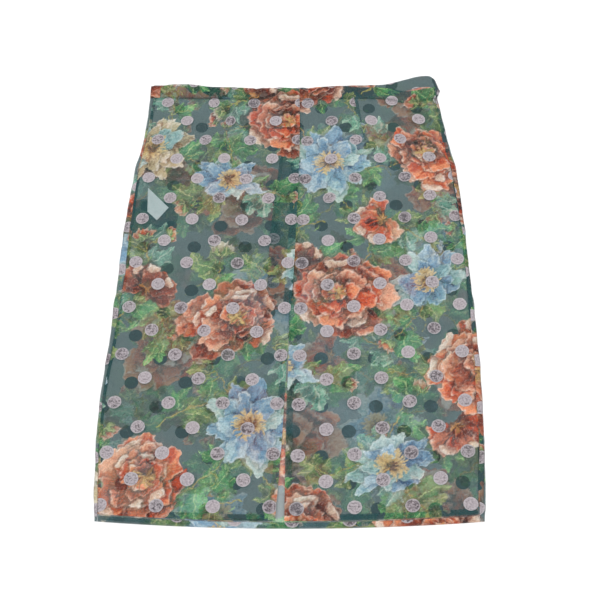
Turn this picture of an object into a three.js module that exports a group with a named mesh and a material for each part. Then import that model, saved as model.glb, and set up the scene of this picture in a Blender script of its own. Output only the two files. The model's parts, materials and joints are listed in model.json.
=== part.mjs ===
// A sheer wrap skirt laid flat: X runs across it, Y from hem to waist, Z up, in millimetres.
// Every piece is a cloth wall: a box of small cells, bent onto the piece's outline and layer.
import * as THREE from 'three';

// Cloth
const WALL = 1;
const GAP = 0.3;
const LAYER = WALL + GAP;
const LABEL_WALL = 0.5;

// Driving sizes
const WAIST = 283;
const FRONT_HEM = -314;
const BACK_HEM = -322;
const HEM_RISE = 8;
const HEM_RISE_AT = 214;
const BAND_HEIGHT = 20;
const TURNED_EDGE = 7;
const EDGE_INSET = 0.8;
const STRIP_INSET = 3;
const STRIP_END = -45;
const LEFT_SLIT_TOP = -100;
const RIGHT_SLIT_TOP = -114;
const BAND_UNDERLAP = 12;
const LEFT_BAND_END = -181;
const CORNER_DROP = 2.5;

// Side folds of the laid skirt and the two side seams, which lie a little inside the folds
const SIDES = [
  { y: -314, left: -222, right: 219, leftSeam: -216, rightSeam: 210 },
  { y: -240, left: -226, right: 223, leftSeam: -221.5, rightSeam: 216 },
  { y: -166, left: -226, right: 225.5, leftSeam: -222, rightSeam: 218 },
  { y: -100, left: -222, right: 226, leftSeam: -216, rightSeam: 219 },
  { y: 0, left: -218, right: 223, leftSeam: -209, rightSeam: 218 },
  { y: 71, left: -215, right: 221, leftSeam: -207, rightSeam: 216 },
  { y: 150, left: -209, right: 217, leftSeam: -203, rightSeam: 210 },
  { y: 214, left: -199, right: 207, leftSeam: -195, rightSeam: 200 },
  { y: 283, left: -195, right: 198, leftSeam: -190, rightSeam: 194 },
];

// The two front edges: the left front laps over the right one down to where the lines cross
const FRONT_EDGES = [
  { y: -314, over: -18, under: -7.5 },
  { y: -230, over: -11.5, under: -7 },
  { y: -166, over: -7.7, under: -6.3 },
  { y: -100, over: -4.2, under: -4.2 },
  { y: 0, over: 1.5, under: -3.4 },
  { y: 60, over: 4.5, under: -2.8 },
  { y: 186, over: 9.2, under: -1.4 },
  { y: 283, over: 9.5, under: -1 },
];

// How far the lap strip reaches in from the left front's edge
const LAP_STRIP = [
  { y: -45, reach: 30 },
  { y: 61, reach: 32.5 },
  { y: 186, reach: 25.7 },
  { y: 283, reach: 22 },
];

// Where the waistband meets the fronts and the back; the back's end stands up at the right
const WAIST_LINE = [
  { x: -230, front: 285, back: 288 },
  { x: -85, front: 282, back: 283.5 },
  { x: 0, front: 280, back: 281 },
  { x: 60, front: 282.5, back: 286 },
  { x: 125, front: 282, back: 288.5 },
  { x: 155, front: 275.5, back: 297 },
  { x: 182, front: 280.5, back: 304 },
  { x: 204, front: 285, back: 299 },
  { x: 230, front: 285, back: 296 },
];

// Soft folds of the two fronts, each along a line from its top to its foot
const FOLDS = [
  { x: -150, y: 275, toX: -160, toY: 170, half: 30, height: 1.6 },
  { x: -84, y: 282, toX: -102, toY: 20, half: 32, height: 2.3 },
  { x: -104, y: 60, toX: -92, toY: -230, half: 36, height: 1.8 },
  { x: -168, y: 40, toX: -176, toY: -262, half: 30, height: 1.7 },
  { x: -128, y: -120, toX: -130, toY: -300, half: 30, height: 1.4 },
  { x: 54, y: 285, toX: 66, toY: 60, half: 30, height: 2.1 },
  { x: 96, y: 245, toX: 118, toY: 70, half: 28, height: 1.7 },
  { x: 82, y: 90, toX: 74, toY: -210, half: 36, height: 1.9 },
  { x: 170, y: 240, toX: 178, toY: 10, half: 30, height: 1.6 },
  { x: 140, y: 20, toX: 150, toY: -270, half: 34, height: 2 },
];
const FOLD_FADE = 60;

// The care label hangs from the left side seam, between front and back
const LABEL = { x: -173.5, y: 109.5, width: 24, length: 40, turn: -0.84 };
const LABEL_LIFT = 0.85;
const LABEL_CLEAR = 26;
const LABEL_FADE = 56;

// Cell lines: distances from an edge in mm, then even cells over the rest of the piece
const EDGE_LINES = [0, 9, 23, 37, 60];
const SEAM_LINES = [12, 0];
const EVEN_COLUMNS = 5;
const ROW_LINES = [
  -314, -305, -291, -255, -220, -185, -150, -125, -112, -100, -86, -70, -45, -18,
  14, 46, 76, 104, 132, 162, 196, 228, 256, 283,
];
const BACK_COLUMNS = 18;
const FOLD_STEPS = 6;

const TEAL = 0x3d5459;
const DEEP_TEAL = 0x2c4045;
const RUST = 0x6b3a2c;
const LABEL_WHITE = 0xe8ecea;

const skirt = new THREE.Group();

function mix(a, b, t) {
  return a + (b - a) * t;
}

function ease(from, to, value) {
  return THREE.MathUtils.smoothstep(value, from, to);
}

// A smooth line through a table's rows: the column 'key' where the column 'by' has this value
function reading(table, by, value, key) {
  const last = table.length - 1;
  let row = 0;
  while (row < last - 1 && table[row + 1][by] < value) {
    row += 1;
  }
  const slope = (k) => {
    const before = table[Math.max(k - 1, 0)];
    const after = table[Math.min(k + 1, last)];
    return (after[key] - before[key]) / (after[by] - before[by]);
  };
  const start = table[row];
  const end = table[row + 1];
  const span = end[by] - start[by];
  const t = THREE.MathUtils.clamp((value - start[by]) / span, 0, 1);
  const s = t * t * (3 - 2 * t);
  const bend = t * (1 - t) * (slope(row) * (1 - t) - slope(row + 1) * t) * span;
  return mix(start[key], end[key], s) + bend;
}

function side(y, key) {
  return reading(SIDES, 'y', y, key);
}

function frontEdge(y, key) {
  return reading(FRONT_EDGES, 'y', y, key);
}

function waistLine(x, key) {
  return reading(WAIST_LINE, 'x', x, key);
}

// The hem's curve and the waist's line bend every row between them in proportion
function bentRow(x, y, key) {
  const up = (y - FRONT_HEM) / (WAIST - FRONT_HEM);
  const rise = HEM_RISE * (x / HEM_RISE_AT) ** 2;
  return y + (1 - up) * rise + up * (waistLine(x, key) - WAIST);
}

function distanceTo(line, x, y) {
  const along = new THREE.Vector2(line.toX - line.x, line.toY - line.y);
  const from = new THREE.Vector2(x - line.x, y - line.y);
  const t = THREE.MathUtils.clamp(from.dot(along) / along.lengthSq(), 0, 1);
  const end = Math.min(t, 1 - t) * along.length();
  return { away: from.sub(along.multiplyScalar(t)).length(), end };
}

// Height that the soft folds add; they die out before the seams, the hem and the lap
function foldHeight(x, y) {
  let height = 0;
  for (const fold of FOLDS) {
    const { away, end } = distanceTo(fold, x, y);
    const across = Math.cos((Math.PI / 2) * Math.min(away / fold.half, 1)) ** 2;
    height = Math.max(height, fold.height * across * ease(0, FOLD_FADE, end));
  }
  const fromLeft = x - side(y, 'leftSeam');
  const fromRight = side(y, 'rightSeam') - x;
  const fromHem = y - FRONT_HEM;
  const calm = ease(4, 34, Math.min(fromLeft, fromRight)) * ease(10, 50, fromHem);
  return height * calm;
}

function labelLift(x, y) {
  const half = LABEL.length / 2;
  const line = {
    x: LABEL.x - half * Math.cos(LABEL.turn),
    y: LABEL.y - half * Math.sin(LABEL.turn),
    toX: LABEL.x + half * Math.cos(LABEL.turn),
    toY: LABEL.y + half * Math.sin(LABEL.turn),
  };
  const { away } = distanceTo(line, x, y);
  const fromSeam = x - side(y, 'leftSeam');
  return LABEL_LIFT * (1 - ease(LABEL_CLEAR, LABEL_FADE, away)) * ease(0, 11, fromSeam);
}

// How many layers lie under a front, by the distance in from its front edge and up from its hem
function layersUnderLeft(inward, y) {
  const overStrip = 3 - 2 * ease(37, 60, inward);
  const overEdge = 2 - ease(9, 23, inward);
  const overHem = 2 - ease(FRONT_HEM + 9, FRONT_HEM + 23, y);
  return Math.max(mix(overEdge, overStrip, ease(-70, -45, y)), overHem);
}

function layersUnderRight(inward, y) {
  const overEdge = 1 + (1 - ease(9, 23, inward)) * (1 - ease(-112, -100, y));
  const overHem = 2 - ease(FRONT_HEM + 9, FRONT_HEM + 23, y);
  return Math.max(overEdge, overHem);
}

// Bends a box of cells into a wall: place(column, row, top) gives each corner's point
function cloth(name, colour, columns, rows, place) {
  const across = columns.length - 1;
  const down = rows.length - 1;
  const geometry = new THREE.BoxGeometry(1, 1, 1, across, down, 1);
  const corners = geometry.attributes.position;
  for (let i = 0; i < corners.count; i += 1) {
    const column = columns[Math.round((corners.getX(i) + 0.5) * across)];
    const row = rows[Math.round((corners.getY(i) + 0.5) * down)];
    const point = place(column, row, corners.getZ(i) > 0 ? 1 : 0);
    corners.setXYZ(i, point.x, point.y, point.z);
  }
  geometry.computeVertexNormals();
  const finish = new THREE.MeshStandardMaterial({
    color: colour,
    roughness: 0.6,
    metalness: 0,
    side: THREE.DoubleSide,
  });
  const mesh = new THREE.Mesh(geometry, finish);
  mesh.name = name;
  skirt.add(mesh);
}

function steps(from, to, count) {
  return Array.from({ length: count + 1 }, (unused, k) => mix(from, to, k / count));
}

function point(x, y, z) {
  return new THREE.Vector3(x, y, z);
}

// Columns of a front, as {inward} in mm from its front edge or {share} of the rest of its width
function frontColumns() {
  const near = EDGE_LINES.map((inward) => ({ inward }));
  const even = steps(0, 1, EVEN_COLUMNS).slice(1, -1).map((share) => ({ share }));
  const far = SEAM_LINES.map((fromSeam) => ({ fromSeam }));
  return [...near, ...even, ...far];
}

function inwardOf(column, width) {
  if (column.inward !== undefined) {
    return column.inward;
  }
  if (column.fromSeam !== undefined) {
    return width - column.fromSeam;
  }
  return mix(EDGE_LINES[EDGE_LINES.length - 1], width - SEAM_LINES[0], column.share);
}

function leftFrontPoint(inward, y, layers) {
  const x = frontEdge(y, 'over') - inward;
  const z = layers * LAYER + foldHeight(x, y) + labelLift(x, y);
  return point(x, bentRow(x, y, 'front'), z);
}

function rightFrontPoint(inward, y, layers) {
  const x = frontEdge(y, 'under') + inward;
  return point(x, bentRow(x, y, 'front'), layers * LAYER + foldHeight(x, y));
}

function makeFronts() {
  cloth('front_left', TEAL, frontColumns().reverse(), ROW_LINES, (column, y, top) => {
    const inward = inwardOf(column, frontEdge(y, 'over') - side(y, 'leftSeam'));
    const corner = leftFrontPoint(inward, y, layersUnderLeft(inward, y));
    return corner.setZ(corner.z + top * WALL);
  });
  cloth('front_right', TEAL, frontColumns(), ROW_LINES, (column, y, top) => {
    const inward = inwardOf(column, side(y, 'rightSeam') - frontEdge(y, 'under'));
    const corner = rightFrontPoint(inward, y, layersUnderRight(inward, y));
    return corner.setZ(corner.z + top * WALL);
  });
}

// The lap strip lies between the two fronts and widens towards its foot
function makeLapStrip() {
  const rows = ROW_LINES.filter((y) => y >= STRIP_END);
  cloth('lap_strip', DEEP_TEAL, steps(1, 0, 3), rows, (share, y, top) => {
    const inward = mix(STRIP_INSET, reading(LAP_STRIP, 'y', y, 'reach'), share);
    const x = frontEdge(y, 'over') - inward;
    return point(x, bentRow(x, y, 'front'), 2 * LAYER + top * WALL);
  });
}

// Turned edges lie under the fronts, on the layer that the fronts rise to clear
function makeSlitFacings() {
  const facing = (name, slitTop, edge, inwards) => {
    const between = ROW_LINES.filter((y) => y > FRONT_HEM && y < slitTop);
    const rows = [FRONT_HEM + EDGE_INSET, ...between, slitTop];
    const ends = [EDGE_INSET, EDGE_INSET + TURNED_EDGE];
    const columns = inwards < 0 ? ends.reverse() : ends;
    cloth(name, DEEP_TEAL, columns, rows, (inward, y, top) => {
      const x = frontEdge(y, edge) + inwards * inward;
      return point(x, bentRow(x, y, 'front'), LAYER + top * WALL);
    });
  };
  facing('slit_facing_left', LEFT_SLIT_TOP, 'over', -1);
  facing('slit_facing_right', RIGHT_SLIT_TOP, 'under', 1);
}

function makeHems() {
  const pastFacing = EDGE_INSET + TURNED_EDGE + GAP;
  const hem = (name, foot, top, ends) => {
    cloth(name, DEEP_TEAL, steps(0, 1, 10), [foot, top], (share, y, upper) => {
      const x = mix(ends(y)[0], ends(y)[1], share);
      return point(x, bentRow(x, y, 'front'), LAYER + upper * WALL);
    });
  };
  const foot = FRONT_HEM + EDGE_INSET;
  const top = foot + TURNED_EDGE;
  hem('hem_front_left', foot, top, (y) => [
    side(y, 'leftSeam') + EDGE_INSET, frontEdge(y, 'over') - pastFacing,
  ]);
  hem('hem_front_right', foot, top, (y) => [
    frontEdge(y, 'under') + pastFacing, side(y, 'rightSeam') - EDGE_INSET,
  ]);
  hem('hem_back', BACK_HEM + EDGE_INSET, FRONT_HEM - 1.2, (y) => [
    side(y, 'leftSeam') + EDGE_INSET, side(y, 'rightSeam') - EDGE_INSET,
  ]);
}

// A wall that lies under the fronts, folds round both sides and ends on top as two lips.
// turn goes from 0 at a lip to 1 at the underside, share runs along the underside.
function wrappedStations(columns) {
  const turns = steps(0, 1, FOLD_STEPS);
  const left = turns.map((turn) => ({ end: 0, turn }));
  const right = [...turns].reverse().map((turn) => ({ end: 1, turn }));
  const under = steps(0, 1, columns).slice(1, -1).map((share) => ({ share }));
  return [{ end: 0, lip: true }, ...left, ...under, ...right, { end: 1, lip: true }];
}

function wrappedPoint(station, ends, top) {
  const radius = LAYER / 2;
  const bend = WALL / 2 + radius;
  const towards = station.end === 0 ? 1 : -1;
  const fold = station.end === 0 ? ends.left : ends.right;
  const lipEnd = station.end === 0 ? ends.leftLip : ends.rightLip;
  if (station.share !== undefined) {
    return { x: mix(ends.left + bend, ends.right - bend, station.share), z: top * WALL };
  }
  if (station.lip) {
    return { x: lipEnd - towards * GAP, z: LAYER + (1 - top) * WALL };
  }
  const angle = Math.PI * (0.5 + station.turn);
  const reach = radius + (0.5 - top) * WALL;
  return {
    x: fold + towards * (bend + reach * Math.cos(angle)),
    z: bend + reach * Math.sin(angle),
  };
}

function makeBack() {
  const rows = [BACK_HEM, ...ROW_LINES];
  cloth('back', TEAL, wrappedStations(BACK_COLUMNS), rows, (station, y, top) => {
    const hemRound = CORNER_DROP * (1 - ease(BACK_HEM, BACK_HEM + 34, y));
    const ends = {
      left: side(y, 'left') + hemRound,
      right: side(y, 'right') - hemRound,
      leftLip: side(y, 'leftSeam'),
      rightLip: side(y, 'rightSeam'),
    };
    const { x, z } = wrappedPoint(station, ends, top);
    return point(x, bentRow(x, y, station.share === undefined ? 'front' : 'back'), z);
  });
}

// Places of a front's columns along its waist line, from its front edge outwards
function edgesAtWaist(edge, outwards, seam) {
  const start = frontEdge(WAIST, edge);
  const width = Math.abs(seam - start);
  return frontColumns().map((column) => start + outwards * inwardOf(column, width));
}

function makeWaistband() {
  const heights = [0, BAND_HEIGHT / 2, BAND_HEIGHT];
  const bandPoint = (x, up, layers, top) => {
    const y = waistLine(x, 'front') + GAP + up;
    return point(x, y, layers * LAYER + top * WALL);
  };
  const leftFront = edgesAtWaist('over', -1, side(WAIST, 'leftSeam'));
  const rightFront = edgesAtWaist('under', 1, side(WAIST, 'rightSeam'));
  const seam = leftFront[0];
  const leftColumns = [...leftFront.filter((x) => x > LEFT_BAND_END), LEFT_BAND_END].reverse();
  cloth('waistband_front_left', TEAL, leftColumns, heights, (x, up, top) => (
    bandPoint(x, up, 2 - ease(BAND_UNDERLAP + 4, 50, seam - x), top)
  ));
  const rightEnd = rightFront[rightFront.length - 1] + 1.5;
  const rightColumns = [...rightFront, rightEnd];
  cloth('waistband_front_right', RUST, rightColumns, heights, (x, up, top) => (
    bandPoint(x, up, 1, top)
  ));
  const stations = wrappedStations(BACK_COLUMNS);
  cloth('waistband_back', DEEP_TEAL, stations, heights, (station, up, top) => {
    const lean = up / BAND_HEIGHT;
    const ends = {
      left: side(WAIST, 'left'),
      right: side(WAIST, 'right') + 2 * lean,
      leftLip: LEFT_BAND_END,
      rightLip: rightEnd + 2 * lean + 2 * GAP,
    };
    const { x, z } = wrappedPoint(station, ends, top);
    return point(x, waistLine(x, 'back') + GAP + up, z);
  });
}

function makeCareLabel() {
  const ends = [-0.5, 0.5];
  cloth('care_label', LABEL_WHITE, ends, ends, (along, across, top) => {
    const flat = new THREE.Vector2(along * LABEL.length, across * LABEL.width);
    flat.rotateAround(new THREE.Vector2(), LABEL.turn);
    return point(LABEL.x + flat.x, LABEL.y + flat.y, LAYER + top * LABEL_WALL);
  });
}

makeBack();
makeHems();
makeSlitFacings();
makeLapStrip();
makeFronts();
makeWaistband();
makeCareLabel();

// The origin is the middle of the underside
const box = new THREE.Box3().setFromObject(skirt);
skirt.position.set(-(box.min.x + box.max.x) / 2, -(box.min.y + box.max.y) / 2, -box.min.z);

export default skirt;
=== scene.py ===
import json
import math

import bmesh
import bpy
import numpy as np
from bpy.props import FloatProperty, FloatVectorProperty, PointerProperty
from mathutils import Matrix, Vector

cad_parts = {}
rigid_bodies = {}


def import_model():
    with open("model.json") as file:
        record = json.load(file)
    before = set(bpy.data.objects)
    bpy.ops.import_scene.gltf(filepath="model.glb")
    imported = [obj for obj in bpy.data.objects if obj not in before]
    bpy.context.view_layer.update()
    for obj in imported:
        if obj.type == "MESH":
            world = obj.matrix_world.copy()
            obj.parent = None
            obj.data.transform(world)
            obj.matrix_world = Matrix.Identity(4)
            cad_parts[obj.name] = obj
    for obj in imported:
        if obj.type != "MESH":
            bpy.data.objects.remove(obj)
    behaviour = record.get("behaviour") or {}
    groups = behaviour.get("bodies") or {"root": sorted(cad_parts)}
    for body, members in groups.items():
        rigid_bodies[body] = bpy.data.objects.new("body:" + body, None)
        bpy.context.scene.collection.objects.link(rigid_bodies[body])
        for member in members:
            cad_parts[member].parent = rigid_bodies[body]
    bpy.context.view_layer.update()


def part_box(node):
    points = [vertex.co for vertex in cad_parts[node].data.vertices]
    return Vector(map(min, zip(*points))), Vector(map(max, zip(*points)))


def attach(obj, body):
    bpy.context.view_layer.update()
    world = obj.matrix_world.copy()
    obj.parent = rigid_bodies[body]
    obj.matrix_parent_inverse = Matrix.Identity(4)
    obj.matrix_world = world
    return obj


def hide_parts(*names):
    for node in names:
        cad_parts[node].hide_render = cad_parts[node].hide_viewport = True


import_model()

bl_info = {
    "name": "Sheer Wrap Skirt",
    "version": (1, 0, 0),
    "blender": (4, 5, 0),
    "location": "View3D > Sidebar > Skirt",
    "description": "Makes a sheer printed wrap skirt that lies flat, and the stage that it is shown on",
    "category": "Add Mesh",
}

LABEL_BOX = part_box("care_label")

# ---------------------------------------------------------------- sizes, in millimetres

# From one ply to the next, and from a ply's underside to its middle
LAYER = 1.3
MIDDLE = 0.5
# What lies side by side stands this far apart, and the band overlaps each front by as much
GAP = 0.3
WAIST = 283.0
FRONT_HEM = -314.0
BACK_HEM = -322.0
HEM_RISE = 8.0
HEM_RISE_AT = 214.0
BAND_HEIGHT = 20.0
# Half of the space between the band's two plies
BAND_HALF = 0.36
TURNED_EDGE = 7.0
# A turned edge is sewn down this far from its fold
STITCH_ROW = 6.2
# Distances in from a turned edge, and from the lap strip, between which a front comes down from it
OFF_EDGE = (9, 23)
OFF_STRIP = (37, 60)
EDGE_INSET = 0.8
STRIP_INSET = 3.0
STRIP_END = -45.0
LEFT_SLIT_TOP = -100.0
RIGHT_SLIT_TOP = -114.0
BAND_UNDERLAP = 12.0
LEFT_BAND_END = -181.0
# The back hem's corners are drawn in, up to this height above the hem
CORNER_DROP = 2.5
CORNER_HEIGHT = 34.0

# Side folds of the laid skirt and the two side seams, which lie a little inside the folds
SIDES = {
    "y": (-314, -240, -166, -100, 0, 71, 150, 214, 283),
    "left": (-222, -226, -226, -222, -218, -215, -209, -199, -195),
    "right": (219, 223, 225.5, 226, 223, 221, 217, 207, 198),
    "left_seam": (-216, -221.5, -222, -216, -209, -207, -203, -195, -190),
    "right_seam": (210, 216, 218, 219, 218, 216, 210, 200, 194),
}

# The two front edges: the left front laps over the right one down to where the lines cross
FRONT_EDGES = {
    "y": (-314, -230, -166, -100, 0, 60, 186, 283),
    "over": (-18, -11.7, -8.2, -4.9, 1.5, 4.5, 9.2, 9.5),
    "under": (-7.5, -6.8, -5.6, -3.7, -3.4, -2.8, -1.4, -1),
}

# How far the lap strip reaches in from the left front's edge
LAP_STRIP = {
    "y": (-45, 61, 186, 283),
    "reach": (30, 32.5, 25.7, 22),
}

# Where the waistband meets the fronts and the back; the back's end stands up at the right
WAIST_LINE = {
    "x": (-230, -85, 0, 60, 125, 155, 182, 204, 230),
    "front": (285, 282, 280, 282.5, 282, 275.5, 280.5, 285, 285),
    "back": (288, 283.5, 281, 286, 288.5, 297, 304, 299, 296),
}

LINE_COLUMNS = ("x", "y", "to_x", "to_y", "half", "height")


def lines_of(*rows):
    return [dict(zip(LINE_COLUMNS, row)) for row in rows]


# Soft folds of the two fronts: top, foot, half width and height
FOLDS = lines_of(
    (-150, 275, -160, 170, 30, 1.6),
    (-84, 282, -102, 20, 32, 2.3),
    (-104, 60, -92, -230, 36, 1.8),
    (-168, 40, -176, -262, 30, 1.7),
    (-128, -120, -130, -300, 30, 1.4),
    (54, 285, 66, 60, 30, 2.1),
    (96, 245, 118, 70, 28, 1.7),
    (82, 90, 74, -210, 36, 1.9),
    (170, 240, 178, 10, 30, 1.6),
    (140, 20, 150, -270, 34, 2.0),
)
FOLD_FADE = 60.0

# Fine creases: a narrow ridge or trough from one point to another, with its half width and height
CREASES = lines_of(
    (-188, 270, -150, 252, 5, 0.5),
    (-178, 262, -120, 262, 4, -0.4),
    (-186, 240, -140, 205, 7, 0.5),
    (-60, 279, -48, 236, 5, 0.4),
    (118, 276, 186, 262, 5, 0.6),
    (108, 262, 190, 246, 6, -0.45),
    (132, 250, 196, 206, 8, 0.5),
    (188, 226, 204, 150, 6, 0.4),
    (40, 180, 88, 176, 5, 0.3),
    (-206, 60, -150, 40, 6, 0.35),
    (-214, -40, -168, -62, 7, 0.35),
    (216, 40, 170, 20, 7, 0.35),
    (212, -150, 160, -176, 7, 0.35),
    (-60, -250, -30, -190, 6, 0.3),
    (30, -286, 60, -210, 6, 0.3),
)

# Soft troughs of the hidden back, which lies on the surface between them
BACK_CREASES = lines_of(
    (-120, 270, -140, 40, 24, 0.5),
    (-40, 260, -30, -60, 20, 0.4),
    (90, 270, 110, -20, 26, 0.5),
    (160, 180, 176, -150, 20, 0.4),
    (-170, 20, -160, -250, 22, 0.45),
    (40, -80, 30, -290, 24, 0.4),
)

LABEL = {"x": -173.5, "y": 109.5, "width": 24.0, "length": 40.0, "turn": -0.84}
LABEL_CORNERS = ((-188.2, 135.5), (-159.6, 104.6), (-173.6, 85.2), (-186.6, 98.4))
LABEL_LIFT = 0.85
LABEL_CLEAR = 26.0
LABEL_FADE = 56.0
PATCH = {"left": -205.0, "right": -147.0, "low": 62.0, "high": 116.0, "corner": 15.0}

# The right front's dart, from the waist seam down to a point; the left front is eased in without one
DART = {"x": 84, "to_x": 97, "to_y": 212, "depth": 9.0, "takes": 16.0}
EASED = {"x": -86, "to_x": -93, "to_y": 196, "takes": 10.0, "spread": 26.0}

# How the grain of the laid fronts strays: sideways, and down towards the hem
GRAIN = {
    "y": (-314, -220, -120, 60, 130, 200, 283),
    "left_over": (1.5, 0.2, 0.5, 0.5, 0.5, 0.8, 1.0),
    "left_down": (-1.4, 0.2, 2.2, 2.0, 1.8, 3.6, 6.0),
    "right_over": (0.4, 0.6, 0.4, 1.0, 2.4, 4.4, 4.4),
    "right_down": (-0.8, 1.2, 2.3, 2.2, 2.8, 6.6, 8.0),
}

# How each piece is cut from the cloth: where its middle falls among the dots, how it is stretched across
# and along, and how its grain leans and tilts
CUTS = {
    "left": {"x": -25.2, "y": 9.9, "across": 1.007, "lean": -0.062, "tilt": 0.0135, "along": 0.999},
    "right": {"x": 21.2, "y": 9.3, "across": 0.985, "lean": -0.018, "tilt": -0.032, "along": 0.992},
    "back": {"x": -4.3, "y": 17.5, "across": 0.997, "lean": -0.010, "tilt": -0.003, "along": 1.021},
    "strip": {"x": 120.0, "y": 40.0, "across": 1.0, "lean": 0.0, "tilt": 0.0, "along": 1.0},
}
CUTS["band_back"] = CUTS["back"]

# How far the flowers are shifted on each cut
PRINT_SHIFT = {
    "left": (22, 222), "right": (540, 490), "back": (629, 36), "band_back": (126, 472), "strip": (0, 0),
}

# ---------------------------------------------------------------- helpers


def mix(a, b, t):
    return a + (b - a) * t


def ease(low, high, value):
    t = np.clip((value - low) / (high - low), 0.0, 1.0)
    return t * t * (3 - 2 * t)


def reading(table, by, value, key):
    """A smooth line through a table's rows: the column 'key' where the column 'by' has this value."""
    across = np.asarray(table[by], float)
    heights = np.asarray(table[key], float)
    value = np.asarray(value, float)
    last = len(across) - 1
    before = np.maximum(np.arange(last + 1) - 1, 0)
    after = np.minimum(np.arange(last + 1) + 1, last)
    slope = (heights[after] - heights[before]) / (across[after] - across[before])
    row = np.clip(np.searchsorted(across, value, side="left") - 1, 0, last - 1)
    span = across[row + 1] - across[row]
    t = np.clip((value - across[row]) / span, 0.0, 1.0)
    s = t * t * (3 - 2 * t)
    bend = t * (1 - t) * (slope[row] * (1 - t) - slope[row + 1] * t) * span
    return mix(heights[row], heights[row + 1], s) + bend


def side(y, key):
    return reading(SIDES, "y", y, key)


def front_edge(y, key):
    return reading(FRONT_EDGES, "y", y, key)


def waist_line(x, key):
    return reading(WAIST_LINE, "x", x, key)


def bent_row(x, y, key):
    """The hem's curve and the waist's line bend every row between them in proportion."""
    up = (y - FRONT_HEM) / (WAIST - FRONT_HEM)
    rise = HEM_RISE * (x / HEM_RISE_AT) ** 2
    return y + (1 - up) * rise + up * (waist_line(x, key) - WAIST)


def away_from(line, x, y):
    """Distance to a line, and how far along it the nearest end is."""
    dx, dy = line["to_x"] - line["x"], line["to_y"] - line["y"]
    long = math.hypot(dx, dy)
    t = np.clip(((x - line["x"]) * dx + (y - line["y"]) * dy) / long ** 2, 0.0, 1.0)
    away = np.hypot(x - line["x"] - t * dx, y - line["y"] - t * dy)
    return away, np.minimum(t, 1 - t) * long


def fold_height(x, y):
    """The fronts' soft folds, which die away at the side seams and the hem."""
    height = np.zeros(np.broadcast(x, y).shape)
    for fold in FOLDS:
        away, end = away_from(fold, x, y)
        across = np.cos(math.pi / 2 * np.minimum(away / fold["half"], 1)) ** 2
        height = np.maximum(height, fold["height"] * across * ease(0, FOLD_FADE, end))
    from_side = np.minimum(x - side(y, "left_seam"), side(y, "right_seam") - x)
    return height * ease(4, 34, from_side) * ease(10, 50, y - FRONT_HEM)


def crease_height(creases, x, y):
    height = np.zeros(np.broadcast(x, y).shape)
    for crease in creases:
        away, end = away_from(crease, x, y)
        height = height + crease["height"] * np.exp(-(away / crease["half"]) ** 2) * ease(0, 18, end)
    return height


def label_lift(x, y):
    half = LABEL["length"] / 2
    ahead, up = half * math.cos(LABEL["turn"]), half * math.sin(LABEL["turn"])
    middle_x, middle_y = LABEL["x"], LABEL["y"]
    line = {"x": middle_x - ahead, "y": middle_y - up, "to_x": middle_x + ahead, "to_y": middle_y + up}
    away, _ = away_from(line, x, y)
    from_seam = x - side(y, "left_seam")
    return LABEL_LIFT * (1 - ease(LABEL_CLEAR, LABEL_FADE, away)) * ease(0, 11, from_seam)


def layers_over_hem(y):
    return 2 - ease(FRONT_HEM + OFF_EDGE[0], FRONT_HEM + OFF_EDGE[1], y)


def layers_left(inward, y):
    over_strip = 3 - 2 * ease(*OFF_STRIP, inward)
    over_edge = 2 - ease(*OFF_EDGE, inward)
    return np.maximum(mix(over_edge, over_strip, ease(-70, -45, y)), layers_over_hem(y))


def layers_right(inward, y):
    over_edge = 1 + (1 - ease(*OFF_EDGE, inward)) * (1 - ease(-112, -100, y))
    return np.maximum(over_edge, layers_over_hem(y))


def pucker(along, seed, pitch, height):
    """Small uneven gathers along a seam."""
    return height * (cloud(along / pitch, 0 * along, seed) - 0.5) * 2


def hashed(ix, iy, seed):
    value = np.sin(ix * 127.1 + iy * 311.7 + seed * 74.7) * 43758.5453
    return value - np.floor(value)


def cloud(x, y, seed=0):
    """Smooth value noise from 0 to 1."""
    ix, iy = np.floor(x), np.floor(y)
    fx, fy = x - ix, y - iy
    fx, fy = fx * fx * (3 - 2 * fx), fy * fy * (3 - 2 * fy)
    low = mix(hashed(ix, iy, seed), hashed(ix + 1, iy, seed), fx)
    high = mix(hashed(ix, iy + 1, seed), hashed(ix + 1, iy + 1, seed), fx)
    return mix(low, high, fy)


def ripple(x, y, height, seed=0):
    """The cloth's slight unevenness between its folds."""
    broad = cloud(x / 46, y / 60, seed) - 0.5
    small = cloud(x / 17, y / 25, seed + 3) - 0.5
    return height * (broad * 1.3 + small * 0.7)


def shade(red, green, blue):
    """A screen colour from 0 to 255 as linear light."""
    value = np.array([red, green, blue], float) / 255
    return np.where(value <= 0.04045, value / 12.92, ((value + 0.055) / 1.055) ** 2.4)


# ---------------------------------------------------------------- the print

TAU = 2 * math.pi
REPEAT = 642.0
CELLS = 27
LIGHT_FROM = 2.3


def tint(deep, body, light, rim):
    return {"deep": shade(*deep), "body": shade(*body), "light": shade(*light), "rim": shade(*rim)}


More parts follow.
